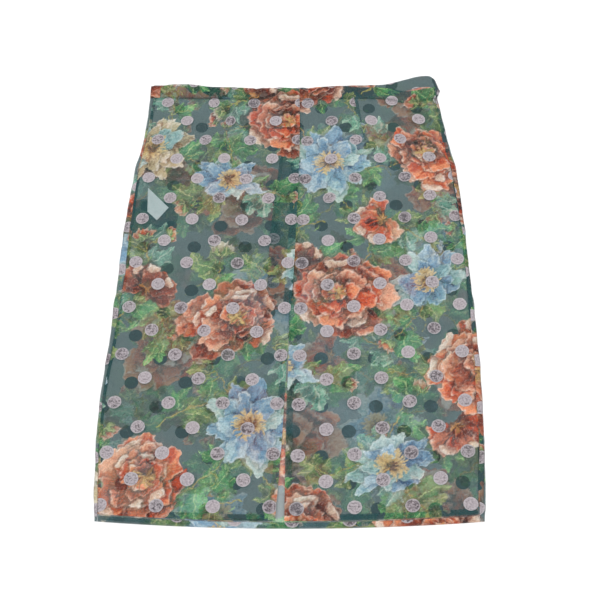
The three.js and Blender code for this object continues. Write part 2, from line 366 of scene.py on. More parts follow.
CORAL = tint((84, 20, 16), (214, 82, 42), (254, 160, 112), (254, 232, 214))
SALMON = tint((116, 48, 36), (212, 122, 90), (244, 184, 152), (252, 232, 216))
RUST = tint((62, 26, 24), (140, 60, 42), (196, 100, 66), (226, 180, 156))
BLUSH = tint((170, 112, 92), (226, 188, 164), (244, 226, 208), (252, 242, 232))
SKY = tint((62, 100, 140), (124, 166, 196), (188, 214, 226), (226, 238, 240))
MIST = tint((84, 132, 138), (150, 190, 190), (204, 226, 220), (234, 242, 236))
CREAM = tint((142, 116, 84), (206, 190, 150), (236, 226, 204), (248, 244, 234))
LEAF = tint((18, 72, 50), (60, 144, 88), (132, 204, 126), (206, 228, 160))
MOSS = tint((32, 66, 44), (98, 138, 82), (172, 192, 120), (226, 222, 162))
FROST = tint((44, 106, 94), (110, 172, 150), (190, 220, 200), (230, 240, 222))
SHADE = tint((16, 54, 52), (26, 78, 66), (44, 98, 76), (70, 118, 90))
STEM = shade(164, 160, 92)
BLADES = (shade(92, 160, 88), shade(150, 186, 120), shade(60, 126, 84))
STEM_END = shade(186, 152, 96)

# Full blossoms, open ones and half-open ones: middle on the cloth, size, turn and a number of their own
FULL = (
    (-78, 172, 64, 0.5, 1), (92, 40, 56, 2.1, 2), (-164, -44, 66, 1.0, 3), (-14, -168, 62, 2.8, 4),
    (190, 196, 60, 0.2, 5), (208, -92, 62, 1.6, 6), (140, -270, 66, 0.9, 8), (-270, 262, 58, 1.9, 9),
)
OPEN = (
    (36, 250, 54, 0.3, 11), (166, 92, 52, 1.2, 12), (-40, 34, 60, 2.2, 13), (84, -150, 50, 0.7, 14),
    (-206, -210, 56, 1.4, 15), (290, 66, 56, 2.6, 16), (-262, 92, 48, 0.2, 17), (-96, -262, 46, 2.9, 19),
)
HALF = (
    (-186, 216, 38, 1.2, 21), (30, -58, 40, 3.6, 22), (272, -206, 42, 2.2, 23), (112, 296, 40, 5.2, 24),
    (-74, -120, 36, 0.4, 25), (-243, 148, 40, 2.6, 26),
)
# Leafy twigs that stand by themselves: foot, turn, length, curl and a number of their own
TWIGS = (
    (-150, 30, 0.4, 90, 0.2, 31), (20, 150, 1.1, 96, -0.2, 32), (150, 10, 5.4, 100, 0.25, 33),
    (-40, -60, 3.6, 84, -0.2, 34), (250, 140, 2.2, 92, 0.2, 35), (-230, -110, 4.4, 90, -0.25, 36),
    (60, -250, 2.6, 86, 0.2, 37), (-180, 220, 5.1, 90, 0.2, 38), (210, 290, 0.9, 84, -0.2, 39),
    (-300, 20, 1.8, 88, 0.2, 40), (110, -100, 0.3, 88, -0.25, 41), (-150, -300, 0.8, 84, 0.2, 42),
)
# Lobes of a leaf: turn and size beside the leaf's own
LOBES = ((-1.3, 0.55), (1.25, 0.58), (-0.66, 0.8), (0.62, 0.78), (0.0, 1.0))
# Rings of petals from the outside in: how many, how far out, length, width and how far the ring has drifted
FULL_RINGS = (
    (8, 0.62, 0.40, 0.33, 0.0),
    (7, 0.46, 0.36, 0.31, 0.05),
    (6, 0.30, 0.30, 0.27, 0.1),
    (5, 0.17, 0.22, 0.2, 0.16),
)
OPEN_RINGS = ((9, 0.60, 0.42, 0.24), (8, 0.46, 0.36, 0.21))


def warp(x, y):
    """The brush's slight wander, which repeats with the print."""
    turn = TAU / REPEAT
    wx = 1.5 * np.sin(turn * (17 * x + 11 * y) + 1.3) + 1.0 * np.sin(turn * (31 * y - 23 * x) + 4.1)
    wy = 1.5 * np.sin(turn * (13 * x - 19 * y) + 0.4) + 1.0 * np.sin(turn * (29 * x + 27 * y) + 2.6)
    wx = wx + 0.55 * np.sin(turn * (71 * x + 43 * y) + 5.0)
    wy = wy + 0.55 * np.sin(turn * (61 * y - 67 * x) + 3.2)
    return x + wx, y + wy


class Painting:
    """Colour and depth of ink at points of the flat cloth, which repeats every REPEAT millimetres."""

    def __init__(self, x, y):
        x, y = warp(x, y)
        self.x, self.y = x, y
        self.colour = np.zeros((len(x), 3))
        self.ink = np.full(len(x), -9.0)
        self.body = np.zeros(len(x))
        cell = REPEAT / CELLS
        place = np.floor((y % REPEAT) / cell) * CELLS + np.floor((x % REPEAT) / cell)
        place = np.clip(place.astype(int), 0, CELLS * CELLS - 1)
        self.order = np.argsort(place, kind="stable")
        self.starts = np.searchsorted(place[self.order], np.arange(CELLS * CELLS + 1))

    def near(self, cx, cy, reach):
        """The points within reach of a place, and how far they are from it across and up."""
        cell = REPEAT / CELLS
        found = []
        for row in range(math.floor((cy - reach) / cell), math.floor((cy + reach) / cell) + 1):
            for column in range(math.floor((cx - reach) / cell), math.floor((cx + reach) / cell) + 1):
                k = (row % CELLS) * CELLS + column % CELLS
                if self.starts[k + 1] > self.starts[k]:
                    found.append(self.order[self.starts[k]:self.starts[k + 1]])
        pick = np.concatenate(found) if found else np.zeros(0, int)
        dx = (self.x[pick] - cx + REPEAT / 2) % REPEAT - REPEAT / 2
        dy = (self.y[pick] - cy + REPEAT / 2) % REPEAT - REPEAT / 2
        inside = (np.abs(dx) < reach) & (np.abs(dy) < reach)
        return pick[inside], dx[inside], dy[inside]

    def lay(self, pick, depth, colour, body, shadow=0.0, soft=0.7):
        """Lays a patch of ink; depth is the distance inside its outline."""
        if shadow:
            under = (depth < 0) & (self.ink[pick] > 0)
            dark = 1 - shadow * np.exp(np.minimum(depth, 0) / 2.6)
            self.colour[pick] *= np.where(under, dark, 1.0)[:, None]
        cover = ease(-soft, soft, depth)
        bare = (self.ink[pick] < depth) & (self.ink[pick] < 0) & (depth > -3)
        cover = np.where(bare, 1.0, cover)
        self.colour[pick] = mix(self.colour[pick], colour, cover[:, None])
        self.body[pick] = mix(self.body[pick], body, cover)
        self.ink[pick] = np.maximum(self.ink[pick], depth)

    def petal(self, cx, cy, angle, out, long, wide, tint, seed, tone=0.5, ruffle=0.07, rim=1.7, body=0.85,
              point=0.0, squash=1.0, lean=0.0, shadow=0.45):
        """One petal whose middle is 'out' from the flower's own, with a wavy, pale-edged tip."""
        pick, dx, dy = self.near(cx, cy, (out + max(long, wide)) * 1.3 + 4)
        if not len(pick):
            return
        c, s = math.cos(lean), math.sin(lean)
        px, py = dx * c + dy * s, (-dx * s + dy * c) / squash
        ca, sa = math.cos(angle), math.sin(angle)
        a = (px * ca + py * sa - out) / long
        b = (-px * sa + py * ca) / wide
        close = (np.abs(a) < 1.6) & (np.abs(b) < 1.9)
        pick, px, py, a, b = pick[close], px[close], py[close], a[close], b[close]
        if not len(pick):
            return
        if point:
            across = b * (1 + 1.25 * point * np.clip(a, -1, 1))
        else:
            across = b * (1 - 0.26 * np.clip(a, -1.2, 1.2))
        rho, psi = np.hypot(a, across), np.arctan2(across, a)
        tip = ease(2.2, 0.7, np.abs(psi))
        wave = np.sin(psi * 5 + seed * 1.7) + 0.7 * np.sin(psi * 9 + seed * 3.1)
        wave = wave + 0.35 * np.sin(psi * 16 + seed * 5.3)
        depth = (1 + ruffle * wave * (0.3 + 0.7 * tip) - rho) * min(long, wide)
        ray = np.arctan2(b * wide, (a + 1.25) * long)
        streak = cloud(ray * 11 + seed * 9, a * 1.2 + seed, 3) - 0.5
        blotch = cloud(px / 8 + seed * 3, py / 8 - seed * 5, 5) - 0.5
        side = math.copysign(0.16, math.sin(seed * 7.7))
        fine = cloud(ray * 27 + seed * 4, a * 3 + seed, 6) + cloud(px / 3 + seed, py / 3, 12) - 1
        level = 0.5 * (a + 1) + 0.5 * streak + 0.55 * blotch + 0.5 * fine + side * b + (tone - 0.5) * 1.3
        level = level - 0.35 * np.exp(-(b / 0.16) ** 2) * ease(0.4, -0.7, a)
        colour = mix(tint["deep"], tint["body"], ease(-0.05, 0.5, level)[:, None])
        colour = mix(colour, tint["light"], (ease(0.62, 1.12, level) * 0.95)[:, None])
        broken = 1.9 * cloud(psi * 4.5 + seed * 5, rho * 3 + seed, 9) - 0.25
        edging = ease(rim * 1.7, rim * 0.2, depth) * (0.2 + 0.8 * tip) * broken * (0.4 + 0.55 * tone)
        colour = mix(colour, tint["rim"], np.clip(edging, 0, 1)[:, None])
        self.lay(pick, depth, colour, body, shadow=shadow)

    def stroke(self, cx, cy, bend, end, width, colour, body=0.8, taper=0.6, end_colour=None):
        """A curved stroke from a point, bending towards one point and ending at another."""
        reach = max(abs(v) for v in (*bend, *end)) + width * 2 + 3
        pick, dx, dy = self.near(cx, cy, reach)
        if not len(pick):
            return
        best = np.full(len(pick), 1e9)
        at = np.zeros(len(pick))
        steps = 5 if reach < 30 else 12
        last = (0.0, 0.0)
        for k in range(1, steps + 1):
            t = k / steps
            qx = 2 * t * (1 - t) * bend[0] + t * t * end[0]
            qy = 2 * t * (1 - t) * bend[1] + t * t * end[1]
            ex, ey = qx - last[0], qy - last[1]
            f = np.clip(((dx - last[0]) * ex + (dy - last[1]) * ey) / (ex * ex + ey * ey + 1e-9), 0, 1)
            d = np.hypot(dx - last[0] - f * ex, dy - last[1] - f * ey)
            at = np.where(d < best, t - (1 - f) / steps, at)
            best = np.minimum(d, best)
            last = (qx, qy)
        depth = width * 0.5 * (1 - taper * at) - best
        keep = depth > -1.2
        tone = np.broadcast_to(colour, (len(pick), 3))
        if end_colour is not None:
            tone = mix(tone, end_colour, at[:, None])
        self.lay(pick[keep], depth[keep], tone[keep], body, soft=0.5)

    def lobe(self, cx, cy, angle, long, wide, tint, seed, body):
        """One pointed lobe of a leaf, with a pale midrib and side veins."""
        pick, dx, dy = self.near(cx, cy, long * 1.05 + 3)
        if not len(pick):
            return
        ca, sa = math.cos(angle), math.sin(angle)
        u = (dx * ca + dy * sa) / long
        t = np.clip(u, 0, 1)
        v = (-dx * sa + dy * ca) / wide + 0.12 * math.sin(seed * 2.3) * np.sin(t * math.pi) * long / wide
        half = np.sign(v)
        toothed = 0.95 + 0.13 * np.sin(t * 15 + seed * 2.0 + half * 1.3) + 0.14 * np.sin(t * 37 + seed + half)
        depth = (np.sin(math.pi * t ** 0.8) ** 0.75 * toothed - np.abs(v)) * wide * 0.75
        depth = np.where((u < 0) | (u > 1), -np.maximum(np.abs(u - 0.5) - 0.5, 0.01) * long - 0.5, depth)
        level = 0.4 + 0.9 * (cloud(dx / 9 + seed, dy / 9, 7) - 0.5)
        level = level + 0.22 * np.clip(v, -1, 1) + 0.35 * (t - 0.4)
        colour = mix(tint["deep"], tint["body"], ease(-0.05, 0.5, level)[:, None])
        colour = mix(colour, tint["light"], (ease(0.5, 1.0, level) * 0.85)[:, None])
        vein = np.abs(((u * 7.0 - np.abs(v) * 1.5) % 1.0) - 0.5)
        veins = ease(0.2, 0.0, vein) * 0.5 * ease(0.05, 0.25, u) * ease(1, 0.6, np.abs(v))
        veins = veins * cloud(dx / 6, dy / 6 + seed, 11) + ease(1.0, 0.2, np.abs(v) * wide) * 0.6
        colour = mix(colour, tint["rim"], np.clip(veins, 0, 1)[:, None])
        body = body * (0.75 + 0.5 * cloud(dx / 13 - seed, dy / 13, 8))
        self.lay(pick, depth, colour, body, shadow=0.3)

    def leaf(self, cx, cy, angle, long, tint, seed, body):
        for k, (turn, size) in enumerate(LOBES):
            self.lobe(cx, cy, angle + turn, long * size, long * 0.27 * size ** 0.5, tint, seed + k, body)

    def heart(self, cx, cy, reach, rng, dark, light, count, tips=None):
        """Short curled stamens round a flower's middle."""
        for _ in range(count):
            a = rng.uniform(0, TAU)
            near, far = rng.uniform(0.05, 0.5) * reach, rng.uniform(0.6, 1.25) * reach
            b = a + rng.uniform(-0.4, 0.4)
            x, y = near * math.cos(a), near * math.sin(a)
            bend = (0.55 * (near + far) * math.cos(b) - x, 0.55 * (near + far) * math.sin(b) - y)
            end = (far * math.cos(a) - x, far * math.sin(a) - y)
            colour = mix(dark, light, rng.random())
            self.stroke(cx + x, cy + y, bend, end, rng.uniform(1.3, 2.3), colour, taper=0.1, end_colour=tips)

    def blossom(self, cx, cy, size, turn, seed):
        """A full blossom: rings of wavy petals from the outside in, some with their tips curled over."""
        rng = np.random.default_rng(seed)
        squash = rng.uniform(0.74, 0.92)
        for r, (count, out, long, wide, drift) in enumerate(FULL_RINGS):
            first = rng.uniform(0, TAU)
            qx, qy = cx + drift * size * math.cos(turn), cy + drift * size * math.sin(turn)
            for k in rng.permutation(count):
                a = first + TAU * k / count + rng.uniform(-0.25, 0.25)
                grow = rng.uniform(0.78, 1.2)
                tone = 0.5 + 0.2 * math.cos(a - LIGHT_FROM) + rng.uniform(-0.28, 0.24) - 0.03 * r
                dye = (CORAL, CORAL, SALMON, RUST)[rng.integers(0, 4)]
                number = rng.uniform(0, 50)
                far = out * size * rng.uniform(0.9, 1.08)
                full_long, full_wide = long * size * grow, wide * size * grow
                shape = {"squash": squash, "lean": turn}
                self.petal(qx, qy, a, far, full_long, full_wide, dye, number, tone, shadow=0.6, **shape)
                if rng.random() < 0.42:
                    tip = far + full_long * rng.uniform(0.6, 0.8)
                    b = a + rng.uniform(-0.12, 0.12)
                    dye = BLUSH if rng.random() < 0.6 else SALMON
                    self.petal(qx, qy, b, tip, long * size * 0.24, full_wide * 0.62, dye, number + 3,
                               tone + 0.15, rim=1.2, shadow=0.5, **shape)
        qx, qy = cx + 0.2 * size * math.cos(turn), cy + 0.2 * size * math.sin(turn)
        for _ in range(7):
            a = rng.uniform(0, TAU)
            far = rng.uniform(0.02, 0.16) * size
            dye = (CORAL, RUST, SALMON)[rng.integers(0, 3)]
            self.petal(qx, qy, a, far, 0.12 * size, 0.11 * size, dye, rng.uniform(0, 50),
                       rng.uniform(0.25, 0.85), rim=1.3, shadow=0.6)
        self.heart(qx, qy, size * 0.17, rng, shade(92, 34, 26), shade(232, 190, 120), 26)

    def open_blossom(self, cx, cy, size, turn, tint, seed):
        """An open blossom of pale petals round a thick ring of ochre stamens."""
        rng = np.random.default_rng(seed)
        squash = rng.uniform(0.66, 0.85)
        for count, out, long, wide in OPEN_RINGS:
            first = rng.uniform(0, TAU)
            for k in rng.permutation(count):
                a = first + TAU * k / count + rng.uniform(-0.2, 0.2)
                grow = rng.uniform(0.8, 1.15)
                tone = 0.55 + 0.18 * math.cos(a - LIGHT_FROM) + rng.uniform(-0.25, 0.2)
                broad = wide * size * rng.uniform(0.85, 1.25)
                dye = tint if rng.random() < 0.62 else MIST
                self.petal(cx, cy, a, out * size * grow, long * size * grow, broad, dye, rng.uniform(0, 50),
                           tone, ruffle=0.06, rim=1.5, body=0.64, point=0.2, squash=squash, lean=turn,
                           shadow=0.4)
        self.heart(cx, cy, size * 0.30, rng, shade(88, 56, 40), shade(206, 158, 92), 80, shade(232, 206, 150))
        self.heart(cx, cy, size * 0.13, rng, shade(46, 32, 30), shade(140, 88, 56), 26)

    def half_blossom(self, cx, cy, size, turn, tint, seed):
        """A half-open blossom seen from its side: a few broad petals from one base."""
        rng = np.random.default_rng(seed)
        for a in (-1.7, 1.7, -1.15, 1.15, -0.6, 0.62, 0.05):
            grow = rng.uniform(0.82, 1.15)
            dye = tint if rng.random() < 0.7 else SALMON
            self.petal(cx, cy, turn + a, 0.46 * size * grow, 0.48 * size * grow, 0.31 * size * grow, dye,
                       rng.uniform(0, 50), rng.uniform(0.2, 0.75), shadow=0.6)
        for a in (-0.9, 0.8, 0.1):
            self.petal(cx, cy, turn + a, 0.76 * size, 0.13 * size, 0.2 * size, BLUSH, rng.uniform(0, 50), 0.6,
                       rim=1.1, shadow=0.5)
        self.heart(cx, cy, size * 0.2, rng, shade(70, 30, 22), shade(214, 150, 84), 30)

    def bud(self, cx, cy, size, turn, tint, seed):
        rng = np.random.default_rng(seed)
        for a in (-0.75, 0.75, -0.35, 0.4, 0.0):
            self.petal(cx, cy, turn + a, 0.5 * size, 0.5 * size, 0.27 * size, tint, rng.uniform(0, 50),
                       rng.uniform(0.4, 0.8), rim=1.3, body=0.78, point=0.1)
        for a in (-1.25, 1.2, -0.5, 0.55):
            self.lobe(cx, cy, turn + a, size * 0.75, size * 0.2, MOSS, rng.uniform(0, 50), 0.65)

    def spray(self, cx, cy, turn, long, curl, leaves, end, seed, dyes):
        """A curved stem with lobed leaves along it and, at its end, a bud or nothing."""
        rng = np.random.default_rng(seed)
        ex, ey = math.cos(turn) * long, math.sin(turn) * long
        mx, my = ex / 2 - math.sin(turn) * curl * long, ey / 2 + math.cos(turn) * curl * long

        def on_stem(t):
            return cx + 2 * t * (1 - t) * mx + t * t * ex, cy + 2 * t * (1 - t) * my + t * t * ey

        for k in range(leaves):
            t = 0.15 + 0.85 * (k + 0.6 * rng.random()) / leaves
            qx, qy = on_stem(t)
            a = turn + (1 if (k + seed) % 2 else -1) * rng.uniform(0.6, 1.3) + (0.5 - t) * curl * 3
            ca, sa = math.cos(a), math.sin(a)
            self.stroke(qx, qy, (3 * ca, 3 * sa), (8 * ca, 8 * sa), 1.6, STEM)
            self.leaf(qx + ca * 6, qy + sa * 6, a, rng.uniform(24, 40), dyes[rng.integers(0, len(dyes))],
                      rng.uniform(0, 50), rng.uniform(0.32, 0.6))
        self.stroke(cx, cy, (mx, my), (ex, ey), 2.2, STEM, end_colour=STEM_END)
        for _ in range(12):
            qx, qy = on_stem(rng.uniform(0.1, 1.0))
            a, r = turn + rng.uniform(-1.5, 1.5), rng.uniform(9, 22)
            bend = (r * 0.6 * math.cos(a + 0.4), r * 0.6 * math.sin(a + 0.4))
            foot_x, foot_y = qx + rng.uniform(-5, 5), qy + rng.uniform(-5, 5)
            end_at = (r * math.cos(a), r * math.sin(a))
            self.stroke(foot_x, foot_y, bend, end_at, 1.3, BLADES[rng.integers(0, 3)], body=0.5)
        for _ in range(3):
            qx, qy = on_stem(rng.uniform(0.2, 0.95))
            a, r = turn + rng.uniform(-1.3, 1.3), rng.uniform(12, 26)
            bend = (r * 0.6 * math.cos(a + 0.6), r * 0.6 * math.sin(a + 0.6))
            self.stroke(qx, qy, bend, (r * math.cos(a), r * math.sin(a)), 1.4, STEM)
        if end:
            self.bud(cx + ex, cy + ey, rng.uniform(13, 20), turn, end, seed)


def paint(x, y):
    """The whole print: shaded leaves first, then sprays, and the blossoms over them."""
    picture = Painting(x, y)
    rng = np.random.default_rng(77)
    for _ in range(34):
        cx, cy, turn = rng.uniform(0, REPEAT), rng.uniform(0, REPEAT), rng.uniform(0, TAU)
        picture.leaf(cx, cy, turn, rng.uniform(30, 50), SHADE, rng.uniform(0, 50), 0.3)
    for cx, cy, turn, long, curl, seed in TWIGS:
        picture.spray(cx, cy, turn, long, curl, 4, (CREAM, SALMON, None)[seed % 3], seed, (LEAF, MOSS, FROST))
    for cx, cy, size, turn, seed in FULL + OPEN + HALF:
        count = 3 if size > 45 else 2
        first = rng.uniform(0, TAU)
        for k in range(count):
            a = first + TAU * k / count + rng.uniform(-0.4, 0.4)
            long, curl = size * rng.uniform(1.4, 1.9), rng.uniform(-0.3, 0.3)
            end = (CORAL, CREAM, SKY, SALMON, None)[rng.integers(0, 5)]
            number = int(rng.integers(0, 1000))
            picture.spray(cx, cy, a, long, curl, 3, end, number, (LEAF, LEAF, MOSS, FROST))
    for cx, cy, size, turn, seed in OPEN:
        picture.open_blossom(cx, cy, size, turn, CREAM if seed == 15 else SKY, seed)
    for cx, cy, size, turn, seed in HALF:
        picture.half_blossom(cx, cy, size, turn, RUST if seed % 2 else CORAL, seed)
    for cx, cy, size, turn, seed in FULL:
        picture.blossom(cx, cy, size, turn, seed)
    return picture


# ---------------------------------------------------------------- shader maths


def operator(operation, swapped=False):
    """An operator of Link's that adds a Math node."""
    def apply(link, other):
        return link.math(operation, first=other) if swapped else link.math(operation, other)
    return apply


class Link:
    """A node's output; Python's operators on it add Math nodes."""

    def __init__(self, nodes, socket):
        self.nodes, self.socket = nodes, socket

    def math(self, operation, *others, first=None):
        values = [self, *others] if first is None else [first, self, *others]
        return self.nodes.node("ShaderNodeMath", {"operation": operation}, dict(enumerate(values)))

    __add__ = __radd__ = operator("ADD")
    __mul__ = __rmul__ = operator("MULTIPLY")
    __truediv__ = operator("DIVIDE")
    __sub__ = operator("SUBTRACT")
    __rsub__ = operator("SUBTRACT", swapped=True)


class Nodes:
    """One material's nodes around its Principled shader."""

    def __init__(self, name):
        self.material = bpy.data.materials.new(name)
        self.material.use_nodes = True
        self.tree = self.material.node_tree
        self.tree.nodes.clear()
        self.output = self.tree.nodes.new("ShaderNodeOutputMaterial")
        self.shader = self.tree.nodes.new("ShaderNodeBsdfPrincipled")
        self.tree.links.new(self.shader.outputs["BSDF"], self.output.inputs["Surface"])

    def connect(self, socket, value):
        if isinstance(value, Link):
            self.tree.links.new(value.socket, socket)
        elif hasattr(value, "__len__") and len(value) == 3 and len(socket.default_value) == 4:
            socket.default_value = (*value, 1.0)
        else:
            socket.default_value = value

    def node(self, kind, settings=None, sockets=None, out=0):
        made = self.tree.nodes.new(kind)
        for key, value in (settings or {}).items():
            if key == "stops":
                ramp = made.color_ramp
                while len(ramp.elements) < len(value):
                    ramp.elements.new(0.5)
                for element, (position, colour) in zip(ramp.elements, value):
                    element.position, element.color = position, (*colour, 1.0)
            else:
                setattr(made, key, value)
        for key, value in (sockets or {}).items():
            self.connect(made.inputs[key], value)
        return Link(self, made.outputs[out])

    def set(self, **sockets):
        for key, value in sockets.items():
            self.connect(self.shader.inputs[key.replace("_", " ")], value)

    def attribute(self, name, out="Color"):
        settings = {"attribute_name": name, "attribute_type": "GEOMETRY"}
        return self.node("ShaderNodeAttribute", settings, out=out)

    def blend(self, factor, a, b, how="MIX"):
        settings = {"data_type": "RGBA", "blend_type": how, "clamp_factor": True}
        return self.node("ShaderNodeMix", settings, {0: factor, 6: a, 7: b}, out=2)

    def between(self, low, high, value):
        """0 below low, 1 above high, smooth between them; low may be above high."""
        settings = {"interpolation_type": "SMOOTHSTEP", "clamp": True}
        flip = low > high
        sockets = {"Value": value, "From Min": min(low, high), "From Max": max(low, high),
                   "To Min": 1.0 if flip else 0.0, "To Max": 0.0 if flip else 1.0}
        return self.node("ShaderNodeMapRange", settings, sockets)

    def noise(self, vector, scale, detail=3.0, rough=0.55, out=0):
        sockets = {"Vector": vector, "Scale": scale, "Detail": detail, "Roughness": rough}
        return self.node("ShaderNodeTexNoise", {"noise_dimensions": "3D"}, sockets, out=out)


# What the cloth's finish adds to how much light it stops
HAZE = 0.02


def cloth_material(name, plain=False):
    """Sheer woven cloth: dark ground, inked flowers and flocked dots, paler and plainer on its reverse."""
    look = bpy.context.scene.skirt_cloth
    n = Nodes(name)
    flat = n.attribute("cloth", out="Vector")
    x = n.node("ShaderNodeSeparateXYZ", sockets={"Vector": flat})
    y = Link(n, x.socket.node.outputs["Y"])
    reverse = n.node("ShaderNodeNewGeometry", out="Backfacing")
    fine = n.noise(flat, 520.0, 2.0, 0.7)
    small = n.noise(flat, 260.0, 3.0)

    # Dots stand on a square lattice that is turned by an eighth
    spacing = look.dot_spacing
    i = (x + y) / (spacing * math.sqrt(2)) + 0.5
    j = (y - x) / (spacing * math.sqrt(2)) + 0.5
    di = (i.math("FRACT") - 0.5) * spacing
    dj = (j.math("FRACT") - 0.5) * spacing
    away = (di * di + dj * dj).math("SQRT") + (small - 0.5) * 0.0011
    radius = look.dot_diameter / 2
    dot = n.between(radius + 0.0003, radius - 0.0003, away) * (0.0 if plain else 1.0)
    number = n.node("ShaderNodeCombineXYZ", sockets={"X": i.math("FLOOR"), "Y": j.math("FLOOR")})
    own = n.node("ShaderNodeTexWhiteNoise", {"noise_dimensions": "2D"}, {"Vector": number})
    rim = n.between(radius - 0.0021, radius - 0.0009, away)
    nap = n.between(0.34, 0.66, n.noise(flat, 470.0, 3.0, 0.75))
    patch = n.noise(flat, 165.0, 3.0, 0.7) + (own - 0.5) * 0.30 + (nap - 0.5) * 0.22
    worn = n.between(0.47, 0.74, patch) * (1 - rim * 0.7)

    # Soft washes of dye stray over the ground
    stray = n.noise(flat, 15.0, 5.0, 0.62, out=1)
    rose = n.node("ShaderNodeSeparateColor", sockets={"Color": stray})
    leafy, blue = (Link(n, rose.socket.node.outputs[k]) for k in ("Green", "Blue"))
    ground = tuple(look.ground)
    ground = n.blend(n.between(0.55, 0.66, leafy) * 0.48, ground, (0.040, 0.160, 0.100))
    ground = n.blend(n.between(0.57, 0.68, rose) * 0.5, ground, (0.190, 0.115, 0.105))
    ground = n.blend(n.between(0.55, 0.66, blue) * 0.5, ground, (0.110, 0.250, 0.300))
    ground = n.blend(n.between(0.3, 0.7, fine) * 0.66, ground, (0.007, 0.028, 0.032))

    ink = n.attribute("ink", out="Fac")
    body = n.attribute("print", out="Alpha")
    edge = ink + (small - 0.5) * 2.0
    inked = n.between(-0.45, 0.45, edge) * (0.0 if plain else 1.0)
    grain = n.between(0.3, 0.7, fine) * 0.28 + n.between(0.35, 0.65, small) * 0.18
    print_colour = n.blend(grain, n.attribute("print"), (0.010, 0.022, 0.022))
    speckle = n.between(0.52, 0.78, n.noise(flat, 390.0, 2.0, 0.7))
    print_colour = n.blend(speckle * 0.24, print_colour, (0.90, 0.88, 0.80))
    print_colour = n.blend(reverse, print_colour, print_colour, how="SCREEN")
    cover = inked * body
    colour = n.blend(inked, ground, print_colour)
    nap_colour = n.blend(nap * 0.85, tuple(c * 1.2 for c in look.dot), tuple(c * 0.5 for c in look.dot))
    nap_colour = n.blend(own * 0.4, nap_colour, tuple(c * 0.62 for c in look.dot))
    nap_colour = n.blend(rim * (0.05 + nap * 0.35), nap_colour, (0.56, 0.56, 0.58))
    nap_colour = n.blend(worn * 0.84, nap_colour, (0.075, 0.062, 0.074))
    nap_colour = n.blend(reverse, nap_colour, (0.085, 0.085, 0.092))
    colour = n.blend(dot, colour, nap_colour)

    # Threads of the weave, two ways
    wave_x = (x * (TAU / look.thread_spacing)).math("SINE")
    wave_y = (y * (TAU / look.thread_spacing)).math("SINE")
    weave = wave_x * wave_y
    bare = look.sheer + HAZE
    alpha = bare + cover * (look.inked - look.sheer) * (1 - reverse * 0.75) + (fine - 0.5) * 0.12
    alpha = alpha * (1 - dot) + dot * (0.92 - worn * 0.16)
    # Painted shade in the waist seam's ditch: it darkens the colour and stops a little more light
    seam = n.attribute("seam", out="Fac")
    colour = n.blend(seam * 0.7, colour, (0.006, 0.020, 0.022))
    alpha = alpha + seam * 0.22
    height = weave * 0.16 + fine * 0.5 + dot * (0.9 + nap * 0.8)
    bump = n.node("ShaderNodeBump", sockets={"Strength": 0.5, "Distance": 0.0004, "Height": height})
    n.set(Base_Color=colour, Alpha=alpha, Normal=bump, Roughness=0.62 + dot * 0.25 + (small - 0.5) * 0.1)
    n.set(Sheen_Weight=0.03, Sheen_Roughness=0.45, Specular_IOR_Level=0.10)
    return n.material


def label_material():
    """Smooth white tape with a fine rib."""
    n = Nodes("label_tape")
    place = n.node("ShaderNodeTexCoord", out="Object")
    mapped = n.node("ShaderNodeMapping", sockets={"Vector": place, "Rotation": (0.0, 0.0, -LABEL["turn"])})
    waves = {"Vector": mapped, "Scale": 260.0, "Distortion": 0.4}
    rib = n.node("ShaderNodeTexWave", {"wave_type": "BANDS"}, waves, out="Fac")
    soil = n.noise(place, 120.0, 3.0)
    colour = n.blend(n.between(0.35, 0.75, soil), (0.80, 0.83, 0.81), (0.68, 0.72, 0.70))
    bump = n.node("ShaderNodeBump", sockets={"Strength": 0.3, "Distance": 0.0002, "Height": rib})
    ribbed = n.blend(rib * 0.12, colour, (0.55, 0.60, 0.58))
    n.set(Base_Color=ribbed, Roughness=0.42 + soil * 0.2, Normal=bump)
    # Painted light: the white tape glows a little, brighter than the lamps alone make it
    n.set(Sheen_Weight=0.1, Emission_Color=(0.66, 0.86, 0.90), Emission_Strength=0.28)
    return n.material


def thread_material():
    """Twisted sewing thread."""
    n = Nodes("sewing_thread")
    place = n.node("ShaderNodeTexCoord", out="Object")
    twist = n.node("ShaderNodeTexWave", {"wave_type": "BANDS", "bands_direction": "DIAGONAL"},
                   {"Vector": place, "Scale": 900.0, "Distortion": 1.0}, out="Fac")
    colour = n.blend(twist, tuple(bpy.context.scene.skirt_sewing.thread_colour), (0.030, 0.055, 0.062))
    bump = n.node("ShaderNodeBump", sockets={"Strength": 0.4, "Distance": 0.0001, "Height": twist})
    n.set(Base_Color=colour, Roughness=0.7 + twist * 0.1, Normal=bump)
    return n.material


def floor_material():
    """Smooth pale floor."""
    n = Nodes("pale_floor")
    place = n.node("ShaderNodeTexCoord", out="Object")
    grain = n.noise(place, 3.0, 2.0)
    floor_colour = tuple(bpy.context.scene.skirt_stage.floor_colour)
    n.set(Base_Color=n.blend(grain, floor_colour, (0.91, 0.91, 0.91)), Roughness=0.9)
    n.set(Specular_IOR_Level=0.0)
    return n.material


# ---------------------------------------------------------------- sheets of cloth


def to_metres(x, y, z):
    """Points in millimetres on the table as points of the frame, in metres."""
    middle = (LABEL_BOX[0] + LABEL_BOX[1]) / 2
    points = np.stack(np.broadcast_arrays(x, y, z), -1).astype(float) / 1000
    points[..., 0] += middle.x - LABEL["x"] / 1000
    points[..., 1] += middle.y - LABEL["y"] / 1000
    return points


def on_cloth(cut, x, y):
    """Where a point of a flat piece falls on the cloth it was cut from."""
    if cut + "_over" in GRAIN:
        over, down = reading(GRAIN, "y", y, cut + "_over"), reading(GRAIN, "y", y, cut + "_down")
        x, y = x - over, y + down
    c = CUTS[cut]
    return c["x"] + c["across"] * x + c["lean"] * y, c["y"] + c["tilt"] * x + c["along"] * y


